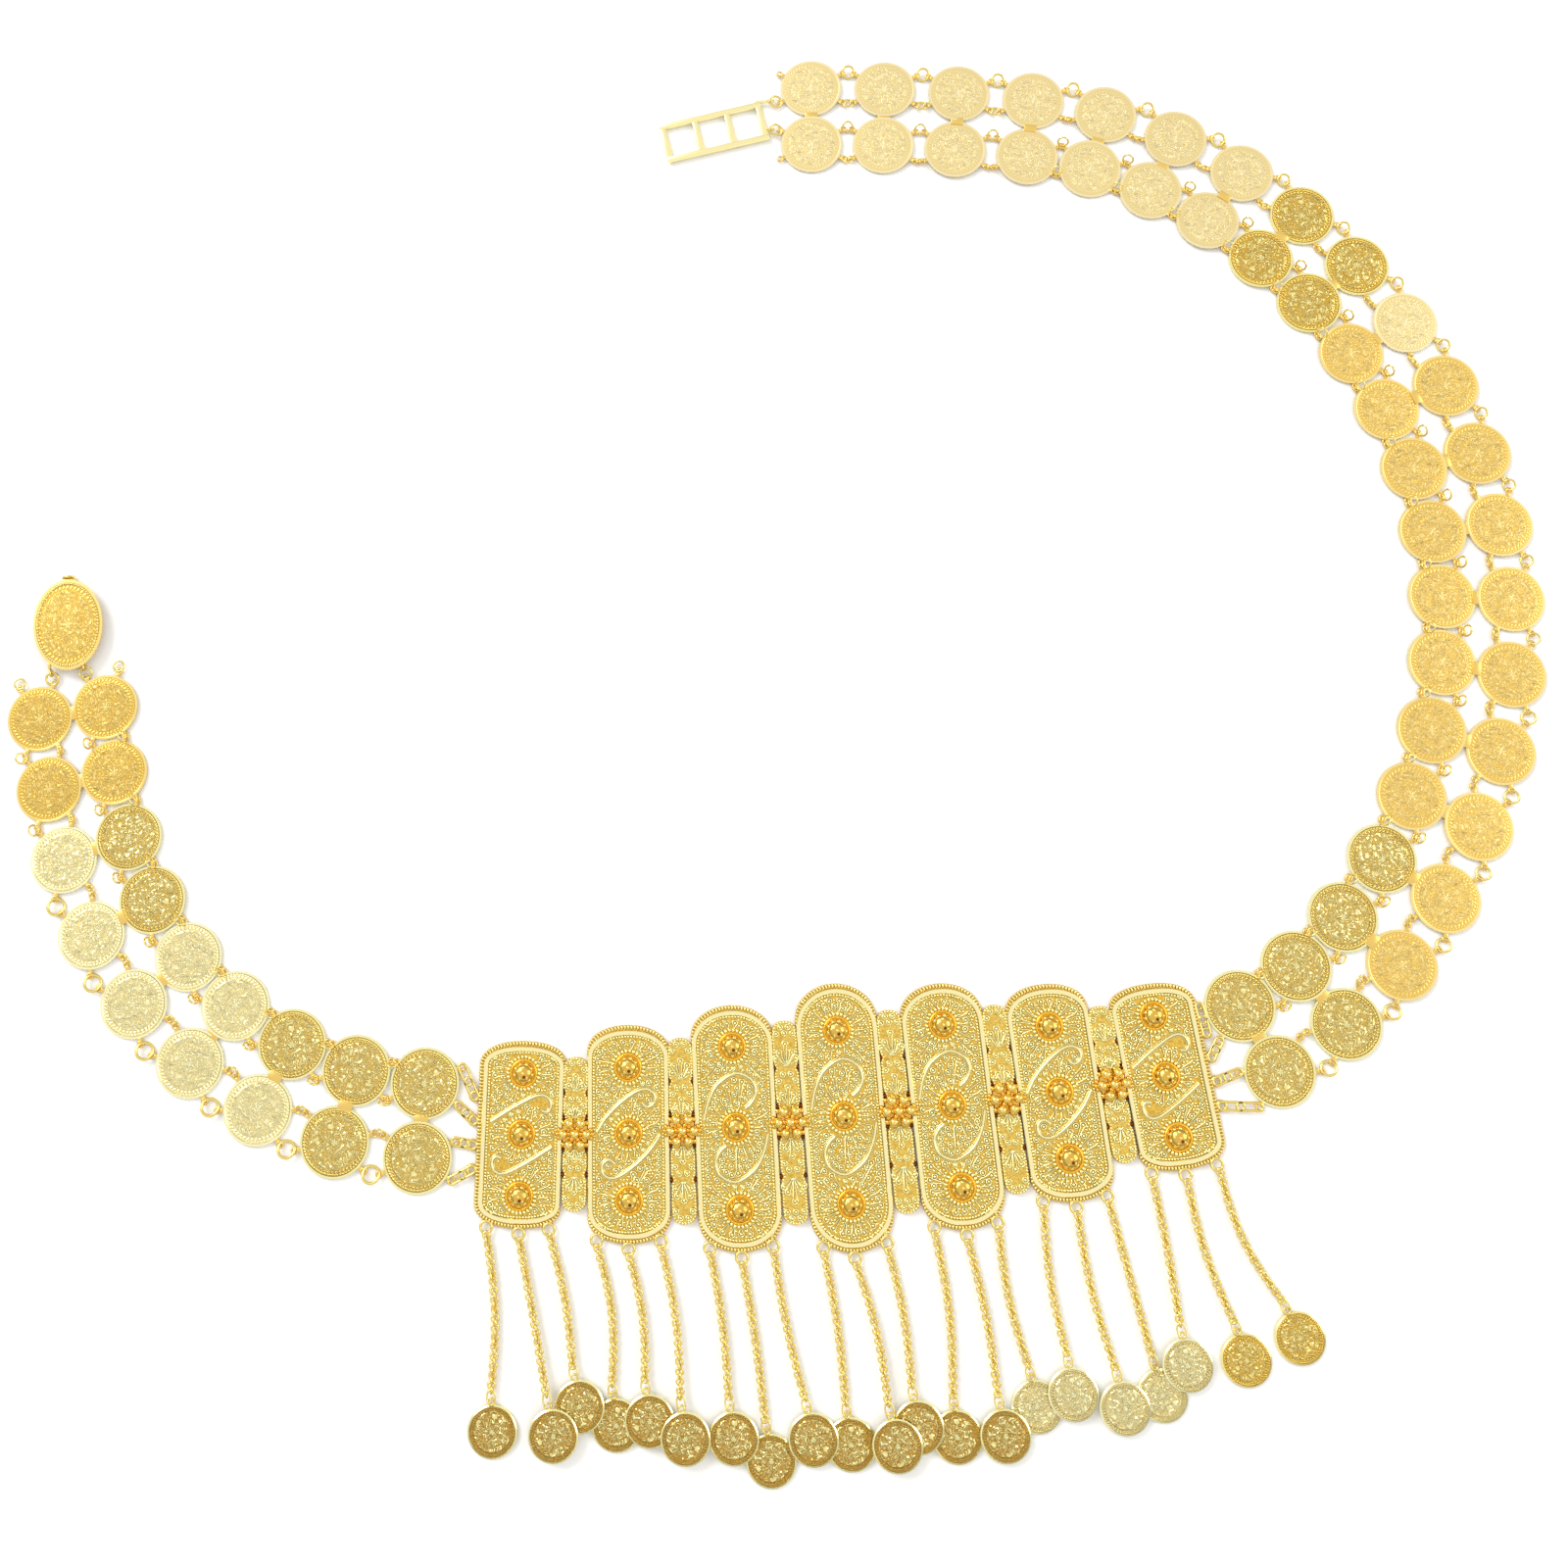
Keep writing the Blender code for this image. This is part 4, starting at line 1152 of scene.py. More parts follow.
@dataclass
class CoinPair:
    """Two coins soldered edge to edge with the rings that lead to the next pair.

    Attributes:
        band: Name of the band.
        number: Number in the band, from 1.
        place: Page x, page y, heading.
        ahead: Place of the next pair, if any.
        tones: Finishes of the outer and the inner coin, with their painted light and shade.
    """

    band: str
    number: int
    place: tuple[float, float, float]
    ahead: tuple[float, float, float] | None
    tones: tuple[Gold, Gold]

    def join(self, piece: Piece, library: Library, start: tuple, end: tuple, seed: int) -> None:
        """A jump ring through two holes.

        Args:
            piece: What it is added to.
            library: The templates.
            start: One hole, in the pair's frame.
            end: The other hole.
            seed: Number that varies how it lies.
        """
        a, b = Vector((*start, RING_LEVEL)), Vector((*end, RING_LEVEL))
        gap = (b - a).length
        mean = max(RING_MEAN, gap / 2 + 0.05)
        off = math.sqrt(max(0.0, mean ** 2 - (gap / 2) ** 2))
        along = (b - a).normalized()
        side = -1.0 if start[1] < 0 else 1.0
        if abs(start[1]) < PAIR_SPAN / 2:
            side = -side
        lean = RING_LEAN + RING_LEAN_STEP * (seed * 7 % 4) if gap > RING_MEAN else RING_LEAN_CLOSE
        lift = min(math.radians(lean), math.asin(min(0.95, RING_ROOM / max(0.3, mean - off))))
        flat = Vector((-along.y, along.x, 0.0)) * side
        across = flat * math.cos(lift) + Vector((0.0, 0.0, math.sin(lift)))
        where = basis(along, across, (a + b) / 2 + across * off)
        piece.add(library.jump_ring, where @ Matrix.Scale(mean / RING_MEAN, 4), Gold.RING)

    def build(self, library: Library) -> bpy.types.Object:
        """Builds the piece.

        Args:
            library: The templates.

        Returns:
            The object.
        """
        label = f"{self.band}_{self.number:02d}"
        piece = Piece(f"coins_{label}", f"coin_pair_{label}", "chain", "pale gold plate",
                      frame_at(*self.place))
        for coin, tone in ((1, self.tones[0]), (-1, self.tones[1])):
            seed = self.number * 2 + coin + (40 if self.band == "left" else 0)
            tilt = (Matrix.Rotation(math.radians(COIN_TILT * math.sin(seed * 2.3)), 4, "X")
                    @ Matrix.Rotation(math.radians(COIN_TILT * math.sin(seed * 3.7)), 4, "Y"))
            where = (Matrix.Translation((0.0, coin * PAIR_SPAN / 2, COIN_LOW)) @ tilt
                     @ Matrix.Rotation(seed * 1.9, 4, "Z"))
            piece.add(library.coin, where, tone)
            for side in (1, -1):
                for forward in (1, -1):
                    x, y = eye_hole(coin, side, forward)
                    piece.add(library.eyelet, spot(x, y, COIN_LOW + 0.4), Gold.EDGE)
                    turn = math.degrees(math.atan2(y - coin * PAIR_SPAN / 2, x))
                    root = eye_hole(coin, side, forward, COIN_RADIUS + 0.5)
                    piece.add(library.tab, spot(*root, COIN_LOW + 0.1, turn), Gold.EDGE)
        piece.add(library.neck, spot(0.0, 0.0, COIN_LOW), Gold.EDGE)
        if self.ahead:
            x, y, heading = self.place
            for number, (coin, side) in enumerate(EYELETS):
                target = placed(eye_hole(coin, side, -1), self.ahead[:2], self.ahead[2])
                end = turned(target[0] - x, target[1] - y, -heading)
                self.join(piece, library, eye_hole(coin, side), end, self.number * 5 + number)
        self.add_ends(piece, library)
        return piece.build()

    def add_ends(self, piece: Piece, library: Library) -> None:
        """What the first and last pairs of a band carry: clasp rings, free rings or long links.

        Args:
            piece: What they are added to.
            library: The templates.
        """
        x, y, heading = self.place
        if (self.band, self.number) in (("right", 1), ("left", 9)):
            forward = 1 if self.band == "left" else -1
            for coin, side in EYELETS[1:3]:
                hx, hy = eye_hole(coin, side, forward, HINGE_HOLE)
                start = Vector((hx, hy, HINGE_RING_FOOT))
                end = Vector((hx + forward * HINGE_REACH, hy, HINGE_HEIGHT))
                along = (end - start).normalized()
                mean = (end - start).length / 2
                where = basis(along, Vector((0, 1, 0)), (start + end) / 2)
                piece.add(library.jump_ring, where @ Matrix.Scale(mean / RING_MEAN, 4), Gold.RING)
        if (self.band, self.number) == ("left", 9):
            for coin, side in (EYELETS[0], EYELETS[3]):
                hx, hy = eye_hole(coin, side)
                piece.add(library.jump_ring, spot(hx + RING_MEAN, hy, 0.8), Gold.RING)
        links = {("right", 21): (PLAQUE_SIZES[-1], 1, 1), ("left", 1): (PLAQUE_SIZES[0], -1, -1)}
        if (self.band, self.number) in links:
            size, side, forward = links[(self.band, self.number)]
            for number, (coin, eye_side) in enumerate(EYELETS):
                start = eye_hole(coin, eye_side, forward)
                target = side_ring(size, side, 3 - number)
                end = turned(target[0] - x, target[1] - y, -heading)
                middle = ((start[0] + end[0]) / 2, (start[1] + end[1]) / 2)
                piece.add(self.long_link(start, middle), Matrix(), Gold.RING)
                piece.add(self.long_link(middle, end), Matrix(), Gold.RING)

    @staticmethod
    def long_link(start: tuple, end: tuple) -> Template:
        """A long oval link.

        Args:
            start: One of its holes.
            end: The other hole.

        Returns:
            The link.
        """
        dx, dy = end[0] - start[0], end[1] - start[1]
        length, turn = math.hypot(dx, dy), math.degrees(math.atan2(dy, dx))
        loop = []
        for middle, first in ((length, -90), (0.0, 90)):
            for k in range(7):
                a = math.radians(first + 30 * k)
                local = (middle + LONG_LINK_HALF * math.cos(a), LONG_LINK_HALF * math.sin(a))
                loop.append((*placed(local, start, turn), LONG_LINK_LEVEL))
        return wire(loop, LONG_LINK_WIRE, closed=True)


@dataclass
class Plaque:
    """A filigree plaque: border, polished band, beaded wire, bosses, scrolls and petals.

    Attributes:
        size: Its place and size.
        free_side: The side with no spacer: -1, 1 or 0.
    """

    size: PlaqueSize
    free_side: int

    def outline(self, shrink: float = 0.0, wide: bool = True) -> np.ndarray:
        """The plaque's edge as evenly spaced points, anticlockwise.

        Args:
            shrink: Distance that it is moved in.
            wide: Includes the beaded border round the ends.

        Returns:
            The points.
        """
        length, rise = self.size.length, self.size.rise
        half, end_half = PLAQUE_HALF, PLAQUE_END_HALF if wide else PLAQUE_HALF
        if not wide:
            length -= BORDER_LENGTH
            rise -= BORDER_RISE
        straight = length / 2 - rise
        power = ROUND_LEAST + (1.0 - ROUND_LEAST) * rise / ROUND_RISE
        loop = []
        for top in (1, -1):
            for k in range(49):
                a = math.pi * k / 48
                cx, sy = math.cos(a), math.sin(a)
                reach = half + (end_half - half) * min(1.0, 1.5 * sy)
                if self.free_side and wide and math.copysign(1.0, cx * top) == self.free_side:
                    reach = end_half
                loop.append((math.copysign(abs(cx) ** power, cx) * reach * top,
                             (straight + abs(sy) ** power * rise) * top))
        line = spaced(np.array(loop), 0.75, closed=True)
        return inset_loop(line, shrink) if shrink else line

    def scroll(self, turn: int) -> np.ndarray:
        """Middle line of a scroll wire.

        Args:
            turn: 1 for the upper one and -1 for the lower one.

        Returns:
            Its points.
        """
        kind = self.size.scroll
        stretch = self.size.pitch / SCROLL_PITCH[kind]
        return smooth_line(tuple((turn * x, turn * y * stretch) for x, y in SCROLLS[kind]))

    def add_ground(self, piece: Piece) -> None:
        """The border plate and the tray with its polished band.

        Args:
            piece: What they are added to.
        """
        piece.add(plate(self.outline(), 0.1, 0.95), Matrix(), Gold.GROUND)
        foot, round_off = 0.2, 0.15
        rise = (0.0, 0.0, BAND_TOP - foot - round_off)
        fall = (0.0, 0.0, FIELD_LEVEL - BAND_TOP)
        band = sheet(self.outline(wide=False), foot)
        edit(band)
        bpy.ops.mesh.extrude_region_move(TRANSFORM_OT_translate={"value": rise})
        bpy.ops.mesh.inset(thickness=round_off, depth=round_off)
        bpy.ops.mesh.inset(thickness=BAND_WIDTH - 2 * round_off)
        bpy.ops.mesh.inset(thickness=round_off, depth=-round_off)
        bpy.ops.mesh.extrude_region_move(TRANSFORM_OT_translate={"value": fall})
        close_edit()
        piece.add(Template.take(band), Matrix(), Gold.BAND)
        ground = inset_loop(self.outline(wide=False), BAND_WIDTH)
        piece.add(plate(ground, 0.5, FIELD_LEVEL, 0.05), Matrix(), Gold.GROUND)

    def add_boss(self, piece: Piece, library: Library, y: float) -> None:
        """A granulated dome in a deep-coloured recess with a beaded collar.

        Args:
            piece: What it is added to.
            library: The templates.
            y: Where it stands on the plaque's middle line.
        """
        floor = active_after(bpy.ops.mesh.primitive_cylinder_add, vertices=32, radius=COLLAR_RADIUS - 0.4,
                             depth=0.4, location=(0.0, 0.0, FIELD_LEVEL + 0.2))
        piece.add(Template.take(floor), spot(0.0, y, 0.0), Gold.RECESS)
        piece.add(library.recess_ring, spot(0.0, y, FIELD_LEVEL + 0.5), Gold.RECESS_RING)
        for k in range(COLLAR_BEADS):
            a = 2 * math.pi * k / COLLAR_BEADS
            where = spot(COLLAR_RADIUS * math.cos(a), y + COLLAR_RADIUS * math.sin(a), FIELD_LEVEL + 0.55,
                         math.degrees(a))
            piece.add(library.bead, where @ Matrix.Diagonal(COLLAR_BEAD), Gold.WIRE)
        base = FIELD_LEVEL + 0.4
        piece.add(library.dome, spot(0.0, y, base), Gold.DOME)
        for count, polar, size, turn, gold in GRANULE_ROWS:
            out = GRANULE_REACH * math.sin(math.radians(polar))
            level = base + GRANULE_HEIGHT * math.cos(math.radians(polar))
            for k in range(count):
                a = 2 * math.pi * (k + turn) / count
                where = spot(out * math.cos(a), y + out * math.sin(a), level, 0.0, size)
                piece.add(library.round_bead, where, gold)
        # a dark ball near the dome's top: a painted dark reflection
        piece.add(library.round_bead, spot(0.35, y - 0.95, base + 2.3, 0.0, 0.55), Gold.SHADE)

    def add_filigree(self, piece: Piece, library: Library, scrolls: list[np.ndarray]) -> None:
        """Petals round the bosses and curls in what is left of the ground.

        Args:
            piece: What they are added to.
            library: The templates.
            scrolls: Middle lines of the two scroll wires.
        """
        length, pitch = self.size.length, self.size.pitch
        edge = inset_loop(self.outline(wide=False), BAND_WIDTH + 0.85)
        lines = np.vstack([spaced(line, 0.3, False) for line in scrolls])
        gaps = []
        if self.size.scroll is Scroll.HOOK:
            gaps = [(turn * HOOK_GAP[0], turn * HOOK_GAP[1]) for turn in (1, -1)]

        def free(x: float, y: float, room: float) -> bool:
            """Whether a disc of this radius touches neither the band, the scrolls nor the gaps."""
            if abs(x) >= PLAQUE_HALF - 2.2 - room or abs(y) >= length / 2 - 3.8 - room:
                return False
            if away_from(edge, x, y) <= room or away_from(lines, x, y) <= room + 0.75:
                return False
            wide, tall = HOOK_GAP_SIZE[0] / 2 + room, HOOK_GAP_SIZE[1] / 2 + room
            return all(((x - gx) / wide) ** 2 + ((y - gy) / tall) ** 2 > 1 for gx, gy in gaps)

        taken = self.add_petals(piece, library, free)
        taken += [(0.0, boss, COLLAR_RADIUS + 0.6) for boss in (-pitch, 0.0, pitch)]
        rows = [spaced(inset_loop(self.outline(wide=False), BAND_WIDTH + 1.85), CURL_PITCH, True)]
        for line in scrolls:
            rows += [spaced(moved_aside(line, side * 1.75), CURL_PITCH, False) for side in (1, -1)]
        grid = np.array([((i + 0.5 * (j % 2)) * CURL_PITCH * 0.5, -length / 2 + j * CURL_PITCH * 0.45)
                         for j in range(int(length / CURL_PITCH / 0.45)) for i in range(-12, 13)])
        for index, (x, y) in enumerate(np.vstack([*rows, grid])):
            if free(x, y, 0.8) and room_at(x, y, taken) > 0.85:
                taken.append((x, y, 0.95))
                piece.add(library.curl, spot(x, y, FIELD_LEVEL + 0.16, 40.0 * index), Gold.WIRE)
                piece.add(library.bead, spot(x, y, FIELD_LEVEL + 0.14, 0.0, 0.44), Gold.WIRE)
        for x, y in grid:
            if free(x, y, 0.35) and room_at(x, y, taken) > 0.4:
                taken.append((x, y, 0.4))
                piece.add(library.bead, spot(x, y, FIELD_LEVEL + 0.1, 0.0, 0.4), Gold.WIRE)

    def add_petals(self, piece: Piece, library: Library,
                   free: Callable[[float, float, float], bool]) -> list[tuple[float, float, float]]:
        """Petals round each boss, as long as there is room for.

        Args:
            piece: What they are added to.
            library: The templates.
            free: Tells whether a disc (x, y, radius) may be used.

        Returns:
            Discs (x, y, radius) that they take up.
        """
        bosses = (-self.size.pitch, 0.0, self.size.pitch)
        start = COLLAR_RADIUS + 0.55
        taken = []
        for boss in bosses:
            for k in range(PETAL_COUNT):
                a = 2 * math.pi * (k + 0.5) / PETAL_COUNT + math.pi / 2
                size = 1.6
                while size < 8.8:
                    head = start + size + 0.2 - PETAL_HEAD
                    x, y = head * math.cos(a), boss + head * math.sin(a)
                    nearest = min(bosses, key=lambda other: math.hypot(x, y - other))
                    crosses = nearest != boss and (boss or self.size.scroll is not Scroll.OVAL)
                    if crosses or not free(x, y, PETAL_HEAD) or room_at(x, y, taken) < PETAL_HEAD + 0.1:
                        break
                    size += 0.2
                if size < min(library.petals):
                    continue
                fit = max(known for known in library.petals if known <= size)
                library.put_petal(piece, start * math.cos(a), boss + start * math.sin(a), math.degrees(a),
                                  fit, FIELD_LEVEL)
                for share, room in ((0.3, 0.3), (0.6, 0.45), (1.0, PETAL_HEAD)):
                    reach = start + share * (fit - PETAL_HEAD)
                    taken.append((reach * math.cos(a), boss + reach * math.sin(a), room))
        return taken

    def build(self, library: Library) -> bpy.types.Object:
        """Builds the piece.

        Args:
            library: The templates.

        Returns:
            The object.
        """
        name, length, pitch = self.size.name, self.size.length, self.size.pitch
        piece = Piece(f"filigree_{name}", name, "chain", "mid gold plate",
                      frame_at(self.size.x, self.size.y, self.size.tilt))
        self.add_ground(piece)
        border = spaced(inset_loop(self.outline(), 0.62), 0.98, closed=True)
        ways = np.roll(border, -1, axis=0) - np.roll(border, 1, axis=0)
        for (bx, by), (wx, wy) in zip(border, ways):
            beside = abs(by) < length / 2 - self.size.rise - 1.0
            covered = beside and math.copysign(1, bx) != self.free_side
            if not covered:
                where = spot(bx, by, 0.98, math.degrees(math.atan2(-wx, wy)))
                piece.add(library.bead, where @ Matrix.Diagonal(BORDER_BEAD), Gold.RIDGE)
        for bx, by in spaced(inset_loop(self.outline(wide=False), BAND_WIDTH + 0.42), 0.9, closed=True):
            piece.add(library.bead, spot(bx, by, FIELD_LEVEL + 0.2, 0.0, 0.42), Gold.WIRE)
        scrolls = [self.scroll(turn) for turn in (1, -1)]
        for line in scrolls:
            for aside, radius, level, gold in SCROLL_WIRES:
                points = [(px, py, FIELD_LEVEL + level) for px, py in moved_aside(line, aside)]
                piece.add(wire(points, radius), Matrix(), gold)
        for boss in (-pitch, 0.0, pitch):
            self.add_boss(piece, library, boss)
        self.add_filigree(piece, library, scrolls)
        if self.free_side:
            for number in range(4):
                where = spot(self.free_side * SIDE_RING_OUT, SIDE_RING_PITCH * (1.5 - number), 0.8, 0.0, 1.35)
                piece.add(library.link, where, Gold.RING)
        return piece.build()


@dataclass
class Spacer:
    """A narrow plate of palmettes with a cluster of balls.

    Attributes:
        number: Its number, from 1.
        length: Its length.
    """

    number: int
    length: float

    def build(self, library: Library) -> bpy.types.Object:
        """Builds the piece.

        Args:
            library: The templates.

        Returns:
            The object.
        """
        first, second = PLAQUE_SIZES[self.number - 1], PLAQUE_SIZES[self.number]
        place = frame_at((first.x + second.x) / 2, (first.y + second.y) / 2, (first.tilt + second.tilt) / 2)
        piece = Piece(f"palmettes_{self.number}", f"spacer_{self.number}", "chain", "orange gold plate",
                      place)
        end = self.length / 2
        joint = end * 0.53
        loop = self.outline(end, joint)
        piece.add(plate(loop, 0.1, SPACER_TOP), Matrix(), Gold.LEAF)
        for x, y in spaced(inset_loop(loop, 0.4), 0.9, closed=True):
            if abs(y) > 4.0:
                piece.add(library.bead, spot(x, y, SPACER_TOP + 0.05, 0.0, 0.36), Gold.WIRE)
        for sign in (1, -1):
            for base, tip in ((4.6, joint - 0.6), (joint + 0.6, end - 0.6)):
                self.add_palmette(piece, library, sign, base, tip)
            # dark balls at the joints and beside the hub: painted shade
            for side in (1, -1):
                shade_spot = spot(side * (SPACER_HALF - 0.25), sign * joint, 0.7, 0.0, 0.75)
                piece.add(library.round_bead, shade_spot, Gold.SHADE)
                shade_spot = spot(side * (SPACER_HALF - 0.3), sign * HUB_HALF, 0.7, 0.0, SMALL_BALL_RADIUS)
                piece.add(library.round_bead, shade_spot, Gold.SHADE)
        self.add_balls(piece, library)
        return piece.build()

    @staticmethod
    def outline(end: float, joint: float) -> np.ndarray:
        """The edge of the plate, waisted at its joints.

        Args:
            end: Half its length.
            joint: Height of the joint of its two palmettes.

        Returns:
            Its points, anticlockwise.
        """
        quarter = ((0.80, 4.0), (0.98, 6.0), (1.0, (joint + 6.0) / 2), (0.97, joint - 1.3), (0.80, joint),
                   (0.97, joint + 1.3), (1.0, (joint + end) / 2), (0.99, end - 3.4), (0.88, end - 1.6),
                   (0.52, end - 0.4), (0.0, end))
        right = [(SPACER_HALF * share, y) for share, y in quarter]
        upper = [*right, *[(-x, y) for x, y in right[-2::-1]]]
        return smooth_line(tuple([*upper, *[(-x, -y) for x, y in upper]]), 0.7, closed=True)

    @staticmethod
    def add_palmette(piece: Piece, library: Library, sign: int, base: float, tip: float) -> None:
        """A fan of petals with curls round it.

        Args:
            piece: What it is added to.
            library: The templates.
            sign: 1 where it points up and -1 where it points down.
            base: Where it starts, from the spacer's middle.
            tip: Where it ends.
        """
        length = tip - base
        for k in range(-2, 3):
            reach = (length * 0.62, length * 0.46, min(4.2, length * 0.36))[abs(k)]
            turn = sign * (90 - PALMETTE_FAN * k)
            library.put_petal(piece, 0.25 * k, sign * base, turn, reach, SPACER_TOP)
        for x, drop in ((-1.15, 1.25), (1.15, 1.25), (-2.45, 3.1), (2.45, 3.1), (0.0, 3.0)):
            if x or length * 0.62 < length - 4.4:
                place = (x, sign * (tip - drop), SPACER_TOP + 0.15)
                piece.add(library.curl, spot(*place), Gold.WIRE)
                piece.add(library.bead, spot(*place, 0.0, 0.44), Gold.WIRE)

    @staticmethod
    def add_balls(piece: Piece, library: Library) -> None:
        """The hub with its seven balls and the small ones between and round them.

        Args:
            piece: What they are added to.
            library: The templates.
        """
        row = BALL_PITCH * math.sqrt(3) / 2
        for x, y in ((-1, 0), (0, 0), (1, 0), (-0.5, 1), (0.5, 1), (-0.5, -1), (0.5, -1)):
            where = spot(x * BALL_PITCH, y * row, BALL_LEVEL, 0.0, BALL_RADIUS)
            piece.add(library.round_bead, where, Gold.BALL)
        # count, first angle, half width and half height of the ring they stand in, level
        rings = ((6, 0.0, BALL_PITCH / 2, BALL_PITCH / 2, 2.5), (12, 15.0, row + 1.9, row + 1.3, 2.0),
                 (2, 0.0, BALL_PITCH + 1.7, 0.0, 2.4))
        for count, first, wide, tall, level in rings:
            for k in range(count):
                a = math.radians(first + 360 * k / count)
                where = spot(wide * math.cos(a), tall * math.sin(a), level, 0.0, SMALL_BALL_RADIUS)
                piece.add(library.round_bead, where, Gold.AMBER)
        piece.add(bar(7.4, 6.0, 1.0, 0.3), spot(0.0, 0.0, 0.9), Gold.AMBER)


@dataclass
class PendantSet:
    """Three chains with small coins under a plaque.

    Attributes:
        number: The plaque's number, from 1.
    """

    number: int

    def root(self, edge: np.ndarray, x: float, out: float) -> tuple[float, float]:
        """Where a chain's top ring is, beyond the plaque's lower edge.

        Args:
            edge: The plaque's outline.
            x: Where along the edge.
            out: Distance from the edge.

        Returns:
            The ring's middle in the plaque's frame.
        """
        lower = edge[edge[:, 1] < 0]
        nearest = lower[np.argmin(np.abs(lower[:, 0] - x))]
        away = Vector((nearest[0] * 0.35, nearest[1])).normalized()
        return (nearest[0] + away.x * out, nearest[1] + away.y * out)

    def build(self, library: Library) -> bpy.types.Object:
        """Builds the piece.

        Args:
            library: The templates.

        Returns:
            The object.
        """
        size = PLAQUE_SIZES[self.number - 1]
        piece = Piece(f"pendants_set_{self.number}", f"pendants_{self.number}", "chain", "mid gold plate",
                      frame_at(size.x, size.y, size.tilt))
        edge = Plaque(size, free_side(self.number)).outline()
        for index in range(3):
            cx, cy, level, bow = PENDANT_ROWS[3 * (self.number - 1) + index]
            coin = Vector((*turned(cx - size.x, cy - size.y, -size.tilt), LEVEL_LOW + LEVEL_STEP * level))
            top = Vector((*self.root(edge, (index - 1) * TOP_RING_SPREAD, TOP_RING_OUT), TOP_RING_LEVEL))
            self.hang(piece, library, top, coin, bow, 3 * (self.number - 1) + index)
        return piece.build()

    def hang(self, piece: Piece, library: Library, top: Vector, coin: Vector, bow: float, seed: int) -> None:
        """One chain from its top ring to its coin.

        Args:
            piece: What it is added to.
            library: The templates.
            top: Middle of the top ring.
            coin: Middle of the coin's underside.
            bow: How far the chain bows sideways.
            seed: Number that varies the coin's turn.
        """
        flat = Vector((coin.x - top.x, coin.y - top.y, 0.0))
        along = flat.normalized()
        across = Vector((-along.y, along.x, 0.0))
        piece.add(library.top_ring, spot(top.x, top.y, top.z), Gold.RING)
        length = flat.length - PENDANT_RADIUS - CHAIN_END
        eye = coin - along * (PENDANT_RADIUS + 0.7) + Vector((0.0, 0.0, 0.45))
        piece.add(library.small_coin, Matrix.Translation(coin) @ Matrix.Rotation(seed * 2.1, 4, "Z"),
                  TONES[PENDANT_TONES[seed]])
        piece.add(library.eyelet, spot(eye.x, eye.y, eye.z), Gold.RING)
        start = top + along * CHAIN_START
        links = length - CHAIN_START
        count = round(links / LINK_PITCH)
        for k in range(count):
            t = (k + 0.5) / count
            rise = Vector((0.0, 0.0, 0.15 + 0.5 * t * (coin.z - LEVEL_LOW)))
            centre = start + along * links * t + across * bow * math.sin(math.pi * t) + rise
            slope = along + across * (bow * math.pi * math.cos(math.pi * t) / length)
            lean = LINK_SWING * math.sin(seed + 0.9 * k)
            up = Matrix.Rotation(math.radians((90.0 if k % 2 else 0.0) + lean), 4, "X")
            piece.add(library.link, basis(slope, across, centre) @ up, Gold.RING)
        last = (start + along * links + eye) / 2
        reach = (eye - start - along * links).length
        turn = math.degrees(math.atan2(along.y, along.x))
        stretch = Matrix.Diagonal(((reach / 2 + 0.7) / RING_MEAN, 0.72, 0.9, 1.0))
        piece.add(library.jump_ring, spot(last.x, last.y, last.z + 0.5, turn) @ stretch, Gold.RING)


def hinge(place: tuple, forward: int) -> tuple[list, Vector]:
    """Where a clasp half swings.

    Args:
        place: Place of the coin pair that carries it.
        forward: 1 at the pair's front or -1 at its back.

    Returns:
        Middles of the two rings' far sides and the outward direction, on the page.
    """
    x, y, heading = place
    out = heading if forward > 0 else heading + 180
    ends = []
    for coin, side in EYELETS[1:3]:
        local = eye_hole(coin, side, forward, HINGE_HOLE)
        ends.append(placed((HINGE_REACH, 0.0), placed(local, (x, y), heading), out))
    outward = Vector((math.cos(math.radians(out)), math.sin(math.radians(out)), 0.0))
    return ends, outward


@dataclass
class Ladder:
    """The clasp's frame with three windows, on two lugs.

    Attributes:
        centre: Its middle on the page.
        turn: Its turn on the page, in degrees.
        length: Its length.
        width: Its width.
        rail: Width of its rails and rungs.
    """

    centre: tuple[float, float] = (-20.4, 225.5)
    turn: float = 13.5
    length: float = 36.0
    width: float = 14.6
    rail: float = 1.9

    def build(self, library: Library, place: tuple) -> bpy.types.Object:
        """Builds the piece.

        Args:
            library: The templates.
            place: Place of the coin pair that carries it.

        Returns:
            The object.
        """
        piece = Piece("ladder_frame", "clasp_ladder", "ladder", "pale gold plate")
        own = frame_at(*self.centre, self.turn)
        rail = bar(self.length, self.rail, 1.2, 0.18)
        rung = bar(self.width - 0.4, self.rail, 1.1, 0.18)
        for side in (1, -1):
            piece.add(rail, own @ spot(0.0, side * (self.width - self.rail) / 2, 0.35), Gold.BAND)
        step = (self.length - self.rail) / 3
        for k in range(4):
            piece.add(rung, own @ spot((k - 1.5) * step, 0.0, 0.38, 90.0), Gold.BAND)
        ends, outward = hinge(place, -1)
        turn = math.degrees(math.atan2(outward.y, outward.x))
        for point in ends:
            centre = Vector((*point, HINGE_HEIGHT))
            piece.add(library.lug_ring, basis(outward, Vector((0, 0, 1)), centre), Gold.BAND)
            local = turned(point[0] - self.centre[0], point[1] - self.centre[1], -self.turn)
            reach = max(1.4, (local[0] - self.length / 2) + 0.6)
            middle = centre + outward * (1.2 + reach / 2)
            piece.add(bar(reach, 0.9, 0.8, 0.15), spot(middle.x, middle.y, 0.6, turn), Gold.BAND)
        return piece.build()


